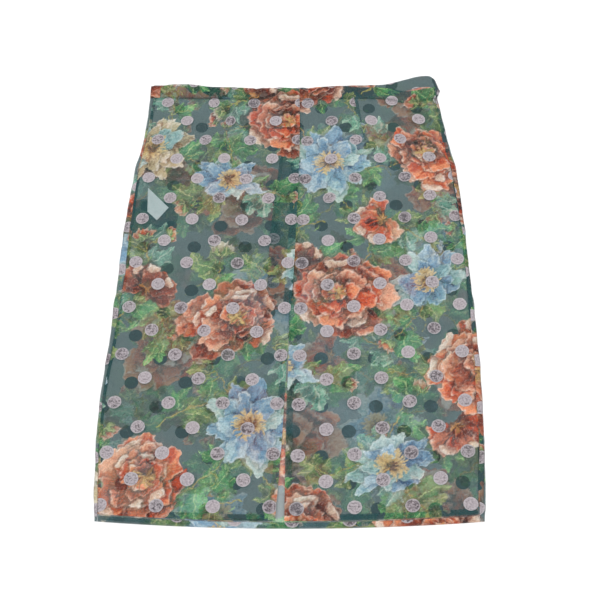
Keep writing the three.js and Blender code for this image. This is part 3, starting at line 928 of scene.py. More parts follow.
def taken_in(line, x, y, outwards):
    """How far the cloth beyond a dart is shifted along the waist, because the waist takes some of it in."""
    middle = mix(line["to_x"], line["x"], (y - line["to_y"]) / (WAIST - line["to_y"]))
    spread = line.get("spread", 0.2)
    beyond = ease(-spread, spread, (x - middle) * outwards)
    return outwards * line["takes"] * ease(line["to_y"] - 40, WAIST, y) * beyond


def painted_seam_shade(x, y, z):
    """Painted shade in the ditch where the waistband meets the fronts, deeper in some places than in others.
    """
    uneven = 0.35 + 0.65 * cloud(x / 9, 0 * x, 81)
    return np.where(z > LAYER, uneven * np.exp(-((y - waist_line(x, "front") - GAP) / 1.1) ** 2), 0)


def add_object(name, data):
    made = bpy.data.objects.new(name, data)
    bpy.context.scene.collection.objects.link(made)
    return made


def mesh_from(bm, name, *materials):
    """A mesh from a bmesh, which is freed."""
    mesh = bpy.data.meshes.new(name)
    bm.to_mesh(mesh)
    bm.free()
    for used in materials:
        mesh.materials.append(used)
    return mesh


def grid(across, up, size=0.5):
    bm = bmesh.new()
    bmesh.ops.create_grid(bm, x_segments=across, y_segments=up, size=size)
    return bm


def sheet(name, across, up, place, cut, material, outward_up=True):
    """A grid of cloth. place(u, v) gives x, y, z and the piece's own flat x, y, all in millimetres."""
    bm = grid(across, up)
    if not outward_up:
        bmesh.ops.reverse_faces(bm, faces=bm.faces)
    mesh = mesh_from(bm, name, material)
    count = len(mesh.vertices)
    corners = np.empty(count * 3, np.float32)
    mesh.vertices.foreach_get("co", corners)
    corners = corners.reshape(-1, 3).astype(float)
    u, v = np.clip(corners[:, 0] + 0.5, 0, 1), np.clip(corners[:, 1] + 0.5, 0, 1)
    x, y, z, flat_x, flat_y = np.broadcast_arrays(*place(u, v))
    mesh.vertices.foreach_set("co", to_metres(x, y, z).astype(np.float32).ravel())
    # The seam attribute holds painted shade along the waist seam
    seam = mesh.attributes.new("seam", "FLOAT", "POINT")
    seam.data.foreach_set("value", painted_seam_shade(x, y, z).astype(np.float32).ravel())
    cx, cy = on_cloth(cut, flat_x, flat_y)
    cloth = mesh.attributes.new("cloth", "FLOAT_VECTOR", "POINT")
    cloth.data.foreach_set("vector", (np.stack([cx, cy, 0 * cx], -1) / 1000).astype(np.float32).ravel())
    layer = mesh.uv_layers.new(name="OFBake")
    corner = np.empty(len(mesh.loops), np.int32)
    mesh.loops.foreach_get("vertex_index", corner)
    layer.data.foreach_set("uv", (np.stack([u, v], -1)[corner] * 0.98 + 0.01).astype(np.float32).ravel())
    mesh.polygons.foreach_set("use_smooth", np.ones(len(mesh.polygons), bool))
    mesh.update()
    made = add_object(name, mesh)
    made["print_shift"] = PRINT_SHIFT[cut]
    return made


def finish_piece(piece, nodes=()):
    """Says what a piece rides on and hides the nodes it replaces."""
    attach(piece, "root")
    if nodes:
        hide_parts(*nodes)


def material(name, make, *values):
    return bpy.data.materials.get(name) or make(*values)


def printed():
    return material("sheer_print", cloth_material, "sheer_print")


def steps_for(length, fine):
    return max(2, int(round(length / fine)))


def turn_under(t, width, low, high, doubled=False):
    """A J-shaped section: t from 0 at its hidden end to 1 at the edge it hangs from.

    Doubled, its end is turned in once more.
    """
    radius = min((high - low) / 2, 0.6)
    flat = width - radius
    bend = radius * math.pi / 2
    rise = max(high - low - radius, 0.05)
    tuck = 0.14
    inner, fold = (flat - 1.2, math.pi * tuck) if doubled else (0.0, 0.0)
    total = inner + fold + flat + bend + rise
    s = t * total - inner - fold
    angle = np.clip((s - flat) / bend, 0, 1) * math.pi / 2
    inward = np.where(s < flat, width - s, radius * (1 - np.sin(angle)))
    z = np.where(s < flat, low, low + radius * (1 - np.cos(angle)))
    z = z + np.clip(s - flat - bend, 0, rise)
    if doubled:
        over = np.clip(-s / fold, 0, 1) * math.pi
        inward = np.where(s < 0, width + tuck * np.sin(over) - np.maximum(-s - fold, 0), inward)
        z = np.where(s < 0, low + tuck * (1 - np.cos(over)), z)
    return inward, z, total - inner - fold - s


FOLD_RADIUS = LAYER / 2
FOLD_BEND = MIDDLE + FOLD_RADIUS


def wrapped(u, left, right, lip_left, lip_right, off=0.0):
    """Across cloth that wraps round both sides: a lip, a round fold, the underside, a round fold and a lip.

    u follows the cloth and off is the distance outside its middle. Gives x, z, the cloth's own flat x and
    how far in from the folds a point is.
    """
    turn = math.pi * FOLD_RADIUS
    under = right - left - 2 * FOLD_BEND
    s = u * (lip_left + lip_right + 2 * turn + under)
    a = np.clip((s - lip_left) / turn, 0, 1) * math.pi
    b = np.clip((s - lip_left - turn - under) / turn, 0, 1) * math.pi
    reach = FOLD_RADIUS + off
    x = left + FOLD_BEND + np.clip(lip_left - s, 0, None) - reach * np.sin(a)
    x = x + np.clip(s - lip_left - turn, 0, under) + reach * np.sin(b)
    x = x - np.clip(s - lip_left - 2 * turn - under, 0, None)
    z = FOLD_BEND + np.where(b > 0, -reach * np.cos(b), reach * np.cos(a))
    flat_x = s - lip_left - turn + left + FOLD_BEND
    return x, z, flat_x, np.minimum(s - lip_left - turn, lip_left + turn + under - s)


def back_section(u, y):
    """Across the back panel, whose corners are drawn in at the hem."""
    drop = CORNER_DROP * (1 - ease(BACK_HEM, BACK_HEM + CORNER_HEIGHT, y))
    left, right = side(y, "left") + drop, side(y, "right") - drop
    lip_left = np.maximum(side(y, "left_seam") - GAP - left - FOLD_BEND, 0.2)
    lip_right = np.maximum(right - side(y, "right_seam") - GAP - FOLD_BEND, 0.2)
    return wrapped(u, left, right, lip_left, lip_right)


def edge_turned(edge, inwards, foot, top, width, low, high):
    """Places for the cloth turned under along a front edge, from its foot to its top."""
    def place(u, v):
        y = mix(foot, top, v)
        inward, z, cloth = turn_under(u if inwards < 0 else 1 - u, width, low, high)
        x = front_edge(y, edge) + inwards * (inward + 0.1)
        row = bent_row(x, y, "front")
        return x, row, z, front_edge(y, edge) - inwards * cloth, row
    return place


# ---------------------------------------------------------------- settings


class SkirtClothSettings(bpy.types.PropertyGroup):
    ground: FloatVectorProperty(name="Ground", description="Colour of the cloth between the flowers",
                                subtype="COLOR", default=(0.034, 0.115, 0.122), min=0, max=1)
    dot: FloatVectorProperty(name="Dots", description="Colour of the flocked dots", subtype="COLOR",
                             default=(0.43, 0.385, 0.41), min=0, max=1)
    sheer: FloatProperty(name="Sheer cloth", description="How much light the bare cloth stops",
                         default=0.44, min=0, max=1)
    inked: FloatProperty(name="Inked cloth", description="How much light a flower stops",
                         default=0.76, min=0, max=1)
    dot_diameter: FloatProperty(name="Dot diameter", description="Width of a flocked dot", default=0.0167,
                                min=0.002, max=0.1, unit="LENGTH")
    dot_spacing: FloatProperty(name="Dot spacing", description="Distance between neighbouring dots",
                               default=0.0454, min=0.004, max=0.5, unit="LENGTH")
    thread_spacing: FloatProperty(name="Thread spacing", description="Distance between threads of the weave",
                                  default=0.0008, min=0.0001, max=0.01, unit="LENGTH")
    front_cell: FloatProperty(name="Front cell", description="Cell size of the fronts' mesh", default=0.00125,
                              min=0.0008, max=0.02, unit="LENGTH")
    back_cell: FloatProperty(name="Back cell", description="Cell size of the back's mesh", default=0.00172,
                             min=0.0008, max=0.02, unit="LENGTH")


class SkirtSewingSettings(bpy.types.PropertyGroup):
    stitch_length: FloatProperty(name="Stitch length", description="Length of a machine stitch",
                                 default=0.0023, min=0.0005, max=0.01, unit="LENGTH")
    stitch_gap: FloatProperty(name="Stitch gap", description="Space between two stitches", default=0.0009,
                              min=0.0001, max=0.01, unit="LENGTH")
    thread_width: FloatProperty(name="Thread width", description="Thickness of the sewing thread",
                                default=0.00034, min=0.0001, max=0.002, unit="LENGTH")
    thread_colour: FloatVectorProperty(name="Thread", description="Colour of the sewing thread",
                                       subtype="COLOR", default=(0.055, 0.095, 0.105), min=0, max=1)


class SkirtStageSettings(bpy.types.PropertyGroup):
    floor_colour: FloatVectorProperty(name="Floor", description="Colour of the floor", subtype="COLOR",
                                      default=(0.90, 0.90, 0.90), min=0, max=1)
    camera_distance: FloatProperty(name="Camera distance", description="From the camera to its target",
                                   default=1.42, min=0.3, max=10, unit="LENGTH")
    camera_height: FloatProperty(name="Camera angle", description="Angle of the view above the floor",
                                 default=math.radians(61), min=0, max=math.radians(90), unit="ROTATION")
    lens: FloatProperty(name="Lens", description="Focal length of the camera in millimetres",
                        default=69.0, min=10, max=300)
    sky: FloatProperty(name="Room light", description="Strength of the light from all round",
                       default=0.62, min=0, max=10)
    lamp: FloatProperty(name="Lamp light", description="Strength of the soft lamps in watts",
                        default=26.0, min=0, max=1000)


# ---------------------------------------------------------------- pieces


# Width and length of the panels' meshes, from which they get their cells
BACK_SPAN = (462, 605)
LEFT_SPAN = (216, 597)
RIGHT_SPAN = (220, 597)


class SKIRT_OT_back(bpy.types.Operator):
    """Make the back panel, which folds round both sides onto the front, with its turned hem"""

    bl_idname = "skirt.back_panel"
    bl_label = "Back panel"

    def execute(self, context):
        cell = context.scene.skirt_cloth.back_cell * 1000

        def place(u, v):
            y = mix(BACK_HEM, WAIST, v)
            x, z, flat_x, inside = back_section(u, y)
            lying = ease(0, 16, inside)
            z = z + lying * (0.12 + crease_height(BACK_CREASES, x, y) + ripple(x, y, 0.22, 5) - 0.3 * lying)
            key_y = mix(bent_row(x, y, "front"), bent_row(x, y, "back"), ease(-2, 6, inside))
            return x + side_wobble(x, y), key_y, np.maximum(z, 0.08), flat_x, bent_row(x, y, "back")

        across, up = steps_for(BACK_SPAN[0], cell), steps_for(BACK_SPAN[1], cell)
        panel = sheet("back_panel", across, up, place, "back", printed(), outward_up=False)
        finish_piece(panel, ["back"])

        def hem(u, v):
            ends = (side(BACK_HEM, "left_seam") + EDGE_INSET, side(BACK_HEM, "right_seam") - EDGE_INSET)
            x = mix(ends[0], ends[1], u)
            inward, z, cloth = turn_under(v, TURNED_EDGE - 0.4, 0.0, LAYER, True)
            y = BACK_HEM + 0.15 + inward
            z = MIDDLE + LAYER - z + ripple(x, y, 0.12, 8)
            return x, bent_row(x, y, "front"), z, x, bent_row(x, BACK_HEM - cloth, "back")

        turned = sheet("back_hem_turned", 340, 18, hem, "back", printed(), outward_up=False)
        finish_piece(turned, ["hem_back"])
        return {"FINISHED"}


def side_wobble(x, y):
    """The side folds run in slight scallops."""
    near_side = ease(170, 222, np.abs(x))
    scallop = cloud(y / 21, 0 * y, 31) - 0.5 + 0.5 * (cloud(y / 9, 0 * y, 33) - 0.5)
    return near_side * np.sign(x) * scallop * 1.5


# Width of what is turned under at a front's hem and slit, and the heights that it lies between
UNDER_FRONT = (TURNED_EDGE + 0.6, LAYER + MIDDLE, 2 * LAYER + MIDDLE - 0.08)


class SKIRT_OT_fronts(bpy.types.Operator):
    """Make the two sheer fronts with their darts, turned hems and turned slit edges"""

    bl_idname = "skirt.fronts"
    bl_label = "Fronts"

    def execute(self, context):
        cell = context.scene.skirt_cloth.front_cell * 1000
        for name, span, place, carriers, area in (
            ("left", LEFT_SPAN, left_front, ["back_panel", "lap_strip_panel"], 0.126),
            ("right", RIGHT_SPAN, right_front, ["back_panel"], 0.128),
        ):
            across, up = steps_for(span[0], cell), steps_for(span[1], cell)
            panel = sheet("front_" + name + "_panel", across, up, place, name, printed())
            finish_piece(panel, ["front_" + name])
        self.hems()
        self.slit()
        self.dart()
        return {"FINISHED"}

    def hems(self):
        inset = EDGE_INSET + TURNED_EDGE + GAP
        for name, low, high in (
            ("left", side(FRONT_HEM, "left_seam") + EDGE_INSET, front_edge(FRONT_HEM, "over") - inset),
            ("right", front_edge(FRONT_HEM, "under") + inset, side(FRONT_HEM, "right_seam") - EDGE_INSET),
        ):
            def place(u, v, low=low, high=high):
                x = mix(low, high, u)
                inward, z, cloth = turn_under(v, *UNDER_FRONT, True)
                y = FRONT_HEM + 0.1 + inward
                return x, bent_row(x, y, "front"), z, x, bent_row(x, FRONT_HEM - cloth, "front")

            turned = sheet("hem_" + name + "_turned", 170, 18, place, name, printed(), outward_up=False)
            finish_piece(turned, ["hem_front_" + name])

    def slit(self):
        for name, edge, top, inwards in (
            ("left", "over", LEFT_SLIT_TOP, -1),
            ("right", "under", RIGHT_SLIT_TOP, 1),
        ):
            place = edge_turned(edge, inwards, FRONT_HEM + EDGE_INSET, top, *UNDER_FRONT)
            turned = sheet("slit_" + name + "_turned", 9, 160, place, name, printed(), outward_up=False)
            finish_piece(turned, ["slit_facing_" + name])

    def dart(self):
        def place(u, v):
            y = mix(DART["to_y"], WAIST - 0.6, v)
            line = mix(DART["to_x"], DART["x"], v)
            x = line + (u - 0.5) * DART["depth"] * v * 0.9 + (u - 0.5) * 1.2
            row = bent_row(x, y, "front")
            return x, row, LAYER + MIDDLE + fold_height(x, y) - 0.42, x + 30 * v, row

        fold = sheet("dart_fold", 8, 60, place, "right", printed())
        finish_piece(fold)


def seam_roll(from_seam):
    """The cloth rolls down into a seam."""
    return -0.55 * np.exp(-(from_seam / 1.6) ** 2)


def dart_groove(x, y):
    """The shallow line of the sewn dart."""
    away, _ = away_from({"x": DART["x"], "y": WAIST, "to_x": DART["to_x"], "to_y": DART["to_y"]}, x, y)
    return -0.4 * np.exp(-(away / 1.5) ** 2)


def front_surface(x, y, from_seam, layers):
    """Height of a front: what it lies on, its folds and creases, and its gathers at the seams."""
    z = layers * LAYER + MIDDLE + fold_height(x, y) + label_lift(x, y)
    calm = ease(0, 12, from_seam) * ease(0, 16, y - FRONT_HEM)
    z = z + calm * (crease_height(CREASES, x, y) + ripple(x, y, 0.3, 1))
    z = z + seam_roll(from_seam) + dart_groove(x, y)
    gathers = ease(18, 2, WAIST - y)
    return z + gathers * pucker(x, 41, 7.0, 0.22) + ease(10, 1, from_seam) * pucker(y, 43, 8.0, 0.16)


def left_front(u, v):
    y = mix(FRONT_HEM, WAIST, v)
    over, seam = front_edge(y, "over"), side(y, "left_seam")
    x = mix(seam, over, u)
    z = front_surface(x, y, x - seam, layers_left(over - x, y))
    row = bent_row(x, y, "front")
    return x + 0.5 * side_wobble(x, y) * ease(14, 0, x - seam), row, z, x + taken_in(EASED, x, y, -1), row


def right_front(u, v):
    y = mix(FRONT_HEM, WAIST, v)
    under, seam = front_edge(y, "under"), side(y, "right_seam")
    x = mix(under, seam, u)
    inward = x - under
    z = front_surface(x, y, seam - x, layers_right(inward, y))
    # Below the left front's lap nothing may rise
    lapped = ease(26, 12, inward) * ease(-60, -30, y)
    z = mix(z, layers_right(inward, y) * LAYER + MIDDLE, lapped)
    row = bent_row(x, y, "front")
    return x + 0.5 * side_wobble(x, y) * ease(14, 0, seam - x), row, z, x + taken_in(DART, x, y, 1), row


# Width of what is turned under at the fronts' edges inside the lap
LAP_TURNED = 9.5


class SKIRT_OT_lap(bpy.types.Operator):
    """Make the strip between the laps and the turned front edges beside it"""

    bl_idname = "skirt.lap_strip"
    bl_label = "Lap strip"

    def execute(self, context):
        def strip(u, v):
            y = mix(STRIP_END, WAIST, v)
            inward = mix(reading(LAP_STRIP, "y", y, "reach"), STRIP_INSET, u)
            x = front_edge(y, "over") - inward
            row = bent_row(x, y, "front")
            return x, row, 2 * LAYER + MIDDLE + ripple(x, y, 0.1, 9), x, row

        made = sheet("lap_strip_panel", 24, 250, strip, "strip", printed())
        finish_piece(made, ["lap_strip"])

        def strip_turned(u, v):
            y = mix(STRIP_END, WAIST, v)
            width = mix(8.5, 4.0, ease(60, 190, y))
            inward, z, _ = turn_under(1 - u, 1.0, 0.0, 0.42)
            inward = inward * width
            x = front_edge(y, "over") - reading(LAP_STRIP, "y", y, "reach") + inward
            row = bent_row(x, y, "front")
            return x, row, 2 * LAYER + MIDDLE - 0.42 + z, x - 2 * inward, row

        made = sheet("lap_strip_turned", 7, 180, strip_turned, "strip", printed(), outward_up=False)
        finish_piece(made)

        for name, edge, inwards, foot, layers, thick in (
            ("left", "over", -1, STRIP_END, 3, 0.62),
            ("right", "under", 1, RIGHT_SLIT_TOP + 6, 1, 0.6),
        ):
            ply = layers * LAYER + MIDDLE
            turned = edge_turned(edge, inwards, foot, WAIST, LAP_TURNED, ply - thick, ply - 0.06)
            made = sheet("lap_" + name + "_turned", 9, 220, turned, name, printed(), outward_up=False)
            finish_piece(made)
        return {"FINISHED"}


def band_layers(inward):
    """How many plies the left front's band lies on: two over the right one's band, then one."""
    return 2 - ease(BAND_UNDERLAP + 4, 50, inward)


def band_folded(v):
    """Up the band's outer face, over its top fold and down its inner face.

    Gives the height, the offset from the middle and the way along the cloth.
    """
    straight = BAND_HEIGHT - BAND_HALF
    total = 2 * straight + math.pi * BAND_HALF
    s = v * total
    angle = np.clip((s - straight) / (math.pi * BAND_HALF), 0, 1) * math.pi
    up = np.where(s < straight, s, straight + BAND_HALF * np.sin(angle))
    up = np.where(s > straight + math.pi * BAND_HALF, total - s, up)
    return up, BAND_HALF * np.cos(angle), s


class SKIRT_OT_waistband(bpy.types.Operator):
    """Make the narrow waistband: two front lengths and the back length, each folded double along its top"""

    bl_idname = "skirt.waistband"
    bl_label = "Waistband"

    def execute(self, context):
        cloth = material("sheer_band", cloth_material, "sheer_band")

        over, under = float(front_edge(WAIST, "over")), float(front_edge(WAIST, "under"))
        right_end = float(side(WAIST, "right_seam")) + 1.5

        def flat_band(low, high, layers, eased, outwards, seed):
            def place(u, v):
                x = mix(low, high, u)
                up, off, s = band_folded(v)
                lean = up / BAND_HEIGHT
                rolled = 3.2 * ease(-186, -160, x) * ease(-104, -146, x)
                wavy = pucker(x, seed, 10.0, 1.0) + pucker(x, seed + 5, 4.5, 0.4)
                wavy = wavy * (0.35 + ease(-70, -50, x) * ease(30, 0, x))
                row = waist_line(x, "front") - GAP
                swell = 2.2 * np.exp(-((x - 64) / 20) ** 2) - 1.0 * np.exp(-((x - 22) / 12) ** 2)
                y = row + up + lean * (rolled + wavy + swell)
                z = layers(x) * LAYER + MIDDLE + off + pucker(x, seed + 2, 6.0, 0.12) * (off > 0)
                z = z + 0.5 * rolled * lean ** 2
                return x, y, z, x + taken_in(eased, x, WAIST + 0 * x, outwards), row + s
            return place

        def over_lap(x):
            return band_layers(over - x)

        def over_back(x):
            return 1 + 0 * x

        for name, columns, place, wide in (
            ("left", 150, flat_band(LEFT_BAND_END, over, over_lap, EASED, -1, 51), 0.1905),
            ("right", 156, flat_band(under, right_end, over_back, DART, 1, 61), 0.197),
        ):
            made = sheet("waistband_" + name, columns, 36, place, name, cloth)
            finish_piece(made, ["waistband_front_" + name])

        def back(u, v):
            up, off, s = band_folded(v)
            lean = up / BAND_HEIGHT
            left_fold = side(WAIST, "left") + 0 * u
            right_fold = side(WAIST, "right") + 4.5 * lean
            lip_left = LEFT_BAND_END - GAP - left_fold - FOLD_BEND
            lip_right = np.maximum(right_fold - FOLD_BEND - (right_end + 2 * lean + 2 * GAP), 0.1)
            x, z, flat_x, inside = wrapped(u, left_fold, right_fold, lip_left, lip_right, off)
            y = mix(waist_line(x, "front"), waist_line(x, "back"), ease(-2, 6, inside)) - GAP + up
            wavy = pucker(x, 71, 12.0, 1.3) + pucker(x, 73, 5.0, 0.5)
            y = y + lean * wavy * (0.3 + ease(-90, -50, x) * ease(40, 0, x))
            # The standing corner at the right is round
            y = y - lean * 8.5 * ease(186, 203, x) ** 1.4
            return x, y, z, flat_x, WAIST + s

        made = sheet("waistband_back_piece", 330, 36, back, "band_back", cloth, outward_up=False)
        finish_piece(made, ["waistband_back"])
        return {"FINISHED"}


class SKIRT_OT_side_seams(bpy.types.Operator):
    """Make the seam allowances that lie inside both side seams"""

    bl_idname = "skirt.side_seams"
    bl_label = "Side seams"

    def execute(self, context):
        # Two plies that lie one on the other and meet in a fold
        for name, low, out, seed, wide in (("left", 3.2, 0.6, 81, 0.0076), ("right", 1.4, 5.4, 91, 0.0125)):
            def place(u, v, name=name, low=low, out=out, seed=seed):
                y = mix(FRONT_HEM + 9, WAIST - 1, v)
                seam = side(y, name + "_seam")
                room = np.abs(side(y, name) - seam) - LAYER
                far = np.minimum(out, room) * (1 + 0.25 * (cloud(y / 17, 0 * y, seed) - 0.5))
                from_fold = np.abs(2 * u - 1)
                if name == "left":
                    x = seam - mix(far, -low, 1 - from_fold)
                else:
                    x = seam + mix(far, -low, from_fold)
                row = bent_row(x, y, "front")
                return x, row, MIDDLE + FOLD_RADIUS + 0.12 * (2 * u - 1), x + 12, row

            made = sheet("seam_allowance_" + name, 12, 330, place, name, printed())
            finish_piece(made)
        return {"FINISHED"}


class SKIRT_OT_label(bpy.types.Operator):
    """Make the bare white care label and the small patch of cloth beside it, both inside the left seam"""

    bl_idname = "skirt.care_label"
    bl_label = "Care label"

    def execute(self, context):
        # The tape's upper left corner is caught in the seam, so it shows as a kite
        top, right, foot, caught = (np.array(corner) for corner in LABEL_CORNERS)
        bm = grid(20, 12)
        for vert in bm.verts:
            u, v = vert.co.x + 0.5, vert.co.y + 0.5
            x, y = mix(mix(caught, foot, u), mix(top, right, u), v)
            vert.co = (x, y, LAYER + 0.3 + 0.16 * math.sin(u * 4.8) + 0.05 * math.sin(v * 7 + 1))
        bmesh.ops.solidify(bm, geom=bm.faces[:] + bm.edges[:] + bm.verts[:], thickness=0.14)
        edges = [e for e in bm.edges if e.is_manifold and e.calc_face_angle(0.0) > 1.0]
        bmesh.ops.bevel(bm, geom=edges, offset=0.04, segments=1, profile=0.5, affect="EDGES", material=-1)
        for vert in bm.verts:
            vert.co = to_metres(*vert.co.to_tuple())
        bmesh.ops.recalc_face_normals(bm, faces=bm.faces)
        mesh = mesh_from(bm, "care_label_tape", material("label_tape", label_material))
        tape = add_object("care_label_tape", mesh)
        finish_piece(tape, ["care_label"])

        def patch(u, v):
            right = PATCH["right"] - PATCH["corner"] * np.abs(2 * v - 1) ** 3
            x = mix(PATCH["left"] + 1.5 * np.sin(v * 6), right, u)
            y = mix(PATCH["low"] + 9 * u ** 2 + 1.5 * np.sin(u * 7), PATCH["high"] + 2 * np.sin(u * 5), v)
            return x, y, LAYER - 0.3 + ripple(x, y, 0.1, 12), x, y

        lining = material("sheer_lining", cloth_material, "sheer_lining", True)
        made = sheet("label_patch", 44, 34, patch, "back", lining)
        finish_piece(made)
        return {"FINISHED"}


class SKIRT_OT_stitching(bpy.types.Operator):
    """Make the machine stitches of the hems, slit, lap, dart, side seams and waistband"""

    bl_idname = "skirt.stitching"
    bl_label = "Stitching"

    def execute(self, context):
        sewing = context.scene.skirt_sewing
        long, thick = sewing.stitch_length, sewing.thread_width * 1000
        pitch = long + sewing.stitch_gap

        def on_left(x, y):
            over, seam = front_edge(y, "over"), side(y, "left_seam")
            return left_front((x - seam) / (over - seam), (y - FRONT_HEM) / (WAIST - FRONT_HEM))[:3]

        def on_right(x, y):
            under, seam = front_edge(y, "under"), side(y, "right_seam")
            return right_front((x - under) / (seam - under), (y - FRONT_HEM) / (WAIST - FRONT_HEM))[:3]

        def left_at(inward, y):
            return on_left(front_edge(y, "over") - inward, y)

        def right_at(inward, y):
            return on_right(front_edge(y, "under") + inward, y)

        s = np.linspace(0, 1, 1600)
        lines = []
        hem_y = FRONT_HEM + STITCH_ROW + 0 * s
        lines.append(on_left(mix(side(FRONT_HEM, "left_seam") + 1, -20.0, s), hem_y))
        lines.append(on_right(mix(-5.0, side(FRONT_HEM, "right_seam") - 1, s), hem_y))
        slit_y = mix(FRONT_HEM + 1, LEFT_SLIT_TOP, s)
        lines.append(left_at(STITCH_ROW, slit_y))
        lines.append(right_at(STITCH_ROW, mix(FRONT_HEM + 1, RIGHT_SLIT_TOP, s)))
        lap_y = mix(-92.0, WAIST - 1, s)
        lines.append(left_at(1.6, lap_y))
        lines.append(on_right(mix(DART["to_x"], DART["x"], s), mix(DART["to_y"], WAIST - 1, s)))
        seam_y = mix(FRONT_HEM + 2, WAIST - 1, s)
        lines.append(on_left(side(seam_y, "left_seam") + 0.7, seam_y))
        lines.append(on_right(side(seam_y, "right_seam") - 0.7, seam_y))
        band_z = MIDDLE + BAND_HALF
        for low, high, lapped in ((LEFT_BAND_END + 1, 8.5, True), (0.0, 194.0, False)):
            x = mix(low, high, s)
            layers = band_layers(front_edge(WAIST, "over") - x) if lapped else 1 + 0 * x
            lines.append((x, waist_line(x, "front") + GAP + 1.5, layers * LAYER + band_z + 0.02))
        one = bmesh.new()
        bmesh.ops.create_uvsphere(one, u_segments=5, v_segments=4, radius=1.0)
        stitch = mesh_from(one, "stitch")
        shape = np.array([vert.co for vert in stitch.vertices])
        bm = bmesh.new()
        corners = []
        for x, y, z in lines:
            points = to_metres(x, y, np.asarray(z) + thick * 0.28)
            run = np.concatenate([[0], np.cumsum(np.linalg.norm(np.diff(points, axis=0), axis=1))])
            for k in range(int(run[-1] / pitch)):
                ends = [
                    np.array([np.interp(k * pitch + d, run, points[:, axis]) for axis in range(3)])
                    for d in (0.0, long)
                ]
                along = Vector(ends[1] - ends[0])
                turn = np.array(along.to_track_quat("X", "Z").to_matrix())
                sized = shape * (along.length / 2, thick / 2000, thick * 0.00042)
                corners.append(sized @ turn.T + (ends[0] + ends[1]) / 2)
                bm.from_mesh(stitch)
        mesh = mesh_from(bm, "stitches", material("sewing_thread", thread_material))
        bpy.data.meshes.remove(stitch)
        mesh.vertices.foreach_set("co", np.concatenate(corners).astype(np.float32).ravel())
        mesh.polygons.foreach_set("use_smooth", np.ones(len(mesh.polygons), bool))
        finish_piece(add_object("stitches", mesh))
        return {"FINISHED"}


class SKIRT_OT_print(bpy.types.Operator):
    """Print the flowers on every piece of cloth"""

    bl_idname = "skirt.print_cloth"
    bl_label = "Print"

    def execute(self, context):
        pieces = [o for o in context.scene.objects if "print_shift" in o]
        places = []
        for piece in pieces:
            flat = np.empty(len(piece.data.vertices) * 3, np.float32)
            piece.data.attributes["cloth"].data.foreach_get("vector", flat)
            places.append(flat.reshape(-1, 3)[:, :2] * 1000.0 + np.array(piece["print_shift"]))
        points = np.concatenate(places).astype(float)
        picture = paint(points[:, 0], points[:, 1])
        dye = np.concatenate([picture.colour, picture.body[:, None]], 1).astype(np.float32)
        depth = np.clip(picture.ink, -6, 6).astype(np.float32)
        first = 0
        for piece, place in zip(pieces, places):
            last = first + len(place)
            colour = piece.data.attributes.new("print", "FLOAT_COLOR", "POINT")
            colour.data.foreach_set("color", dye[first:last].ravel())
            ink = piece.data.attributes.new("ink", "FLOAT", "POINT")
            ink.data.foreach_set("value", depth[first:last])
            first = last
        return {"FINISHED"}


# Half of the floor's width in metres, and where the camera is aimed in millimetres
FLOOR_HALF = 4.0
CAMERA_TARGET = (10.0, -31.0, 0.0)


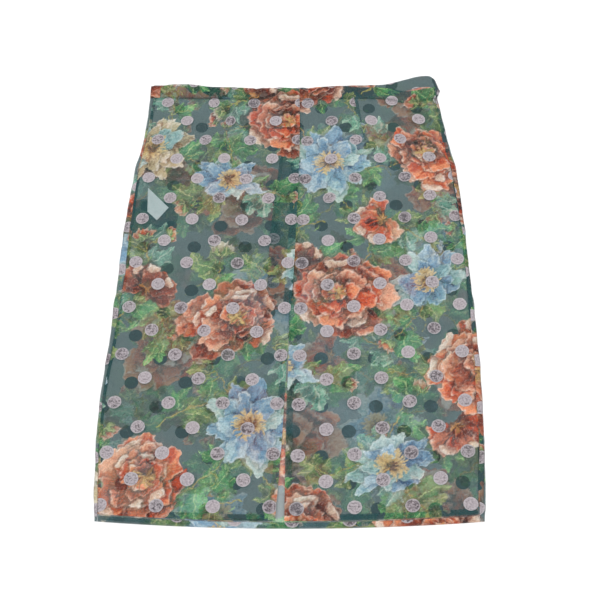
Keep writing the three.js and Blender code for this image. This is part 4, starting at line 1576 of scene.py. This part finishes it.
class SKIRT_OT_stage(bpy.types.Operator):
    """Make the pale floor, the soft lamps and the camera"""

    bl_idname = "skirt.stage"
    bl_label = "Stage"

    def execute(self, context):
        stage = context.scene.skirt_stage
        mesh = mesh_from(grid(1, 1, FLOOR_HALF), "stage_floor", material("pale_floor", floor_material))
        add_object("stage_floor", mesh)

        world = bpy.data.worlds.new("room")
        world.use_nodes = True
        background = world.node_tree.nodes["Background"]
        background.inputs["Color"].default_value = (1.0, 1.0, 1.0, 1.0)
        background.inputs["Strength"].default_value = stage.sky
        context.scene.world = world
        for name, place, size, share in (
            ("lamp_left", (-1.1, 0.5, 2.3), 1.6, 1.0),
            ("lamp_right", (1.2, 0.2, 2.4), 1.6, 0.8),
            ("lamp_front", (0.0, -1.5, 2.4), 1.8, 0.6),
        ):
            light = bpy.data.lights.new(name, "AREA")
            light.shape, light.size, light.energy = "SQUARE", size, stage.lamp * share
            lamp = add_object(name, light)
            lamp.location = place
            lamp.rotation_euler = (Vector((0, 0, 0)) - Vector(place)).to_track_quat("-Z", "Y").to_euler()

        camera = bpy.data.cameras.new("camera")
        camera.lens, camera.sensor_width, camera.clip_start = stage.lens, 36.0, 0.05
        viewer = add_object("camera", camera)
        aim = Vector(to_metres(*CAMERA_TARGET))
        up = stage.camera_height
        away = Vector((0.0, -math.cos(up), math.sin(up))) * stage.camera_distance
        viewer.location = aim + away
        viewer.rotation_euler = (-away).to_track_quat("-Z", "Y").to_euler()
        context.scene.camera = viewer
        context.scene.view_settings.view_transform = "Standard"
        return {"FINISHED"}


class SKIRT_PT_panel(bpy.types.Panel):
    """The skirt's pieces and settings"""

    bl_label = "Sheer Wrap Skirt"
    bl_idname = "SKIRT_PT_panel"
    bl_space_type = "VIEW_3D"
    bl_region_type = "UI"
    bl_category = "Skirt"

    def draw(self, context):
        for operator in OPERATORS:
            self.layout.operator(operator.bl_idname)
        for group in (context.scene.skirt_cloth, context.scene.skirt_sewing, context.scene.skirt_stage):
            box = self.layout.box()
            for key in group.__annotations__:
                box.prop(group, key)


OPERATORS = (
    SKIRT_OT_back, SKIRT_OT_lap, SKIRT_OT_fronts, SKIRT_OT_waistband, SKIRT_OT_side_seams, SKIRT_OT_label,
    SKIRT_OT_print, SKIRT_OT_stitching, SKIRT_OT_stage,
)
GROUPS = (
    ("skirt_cloth", SkirtClothSettings),
    ("skirt_sewing", SkirtSewingSettings),
    ("skirt_stage", SkirtStageSettings),
)


def register():
    for _, group in GROUPS:
        bpy.utils.register_class(group)
    for name, group in GROUPS:
        setattr(bpy.types.Scene, name, PointerProperty(type=group))
    for operator in OPERATORS:
        bpy.utils.register_class(operator)
    bpy.utils.register_class(SKIRT_PT_panel)


def unregister():
    bpy.utils.unregister_class(SKIRT_PT_panel)
    for operator in reversed(OPERATORS):
        bpy.utils.unregister_class(operator)
    for name, group in reversed(GROUPS):
        delattr(bpy.types.Scene, name)
        bpy.utils.unregister_class(group)


def plain(box):
    return [[float(v) for v in corner] for corner in box]


def main():
    register()
    bpy.ops.skirt.back_panel()
    bpy.ops.skirt.lap_strip()
    bpy.ops.skirt.fronts()
    bpy.ops.skirt.waistband()
    bpy.ops.skirt.side_seams()
    bpy.ops.skirt.care_label()
    bpy.ops.skirt.print_cloth()
    bpy.ops.skirt.stitching()
    bpy.ops.skirt.stage()


if __name__ == "__main__":
    main()
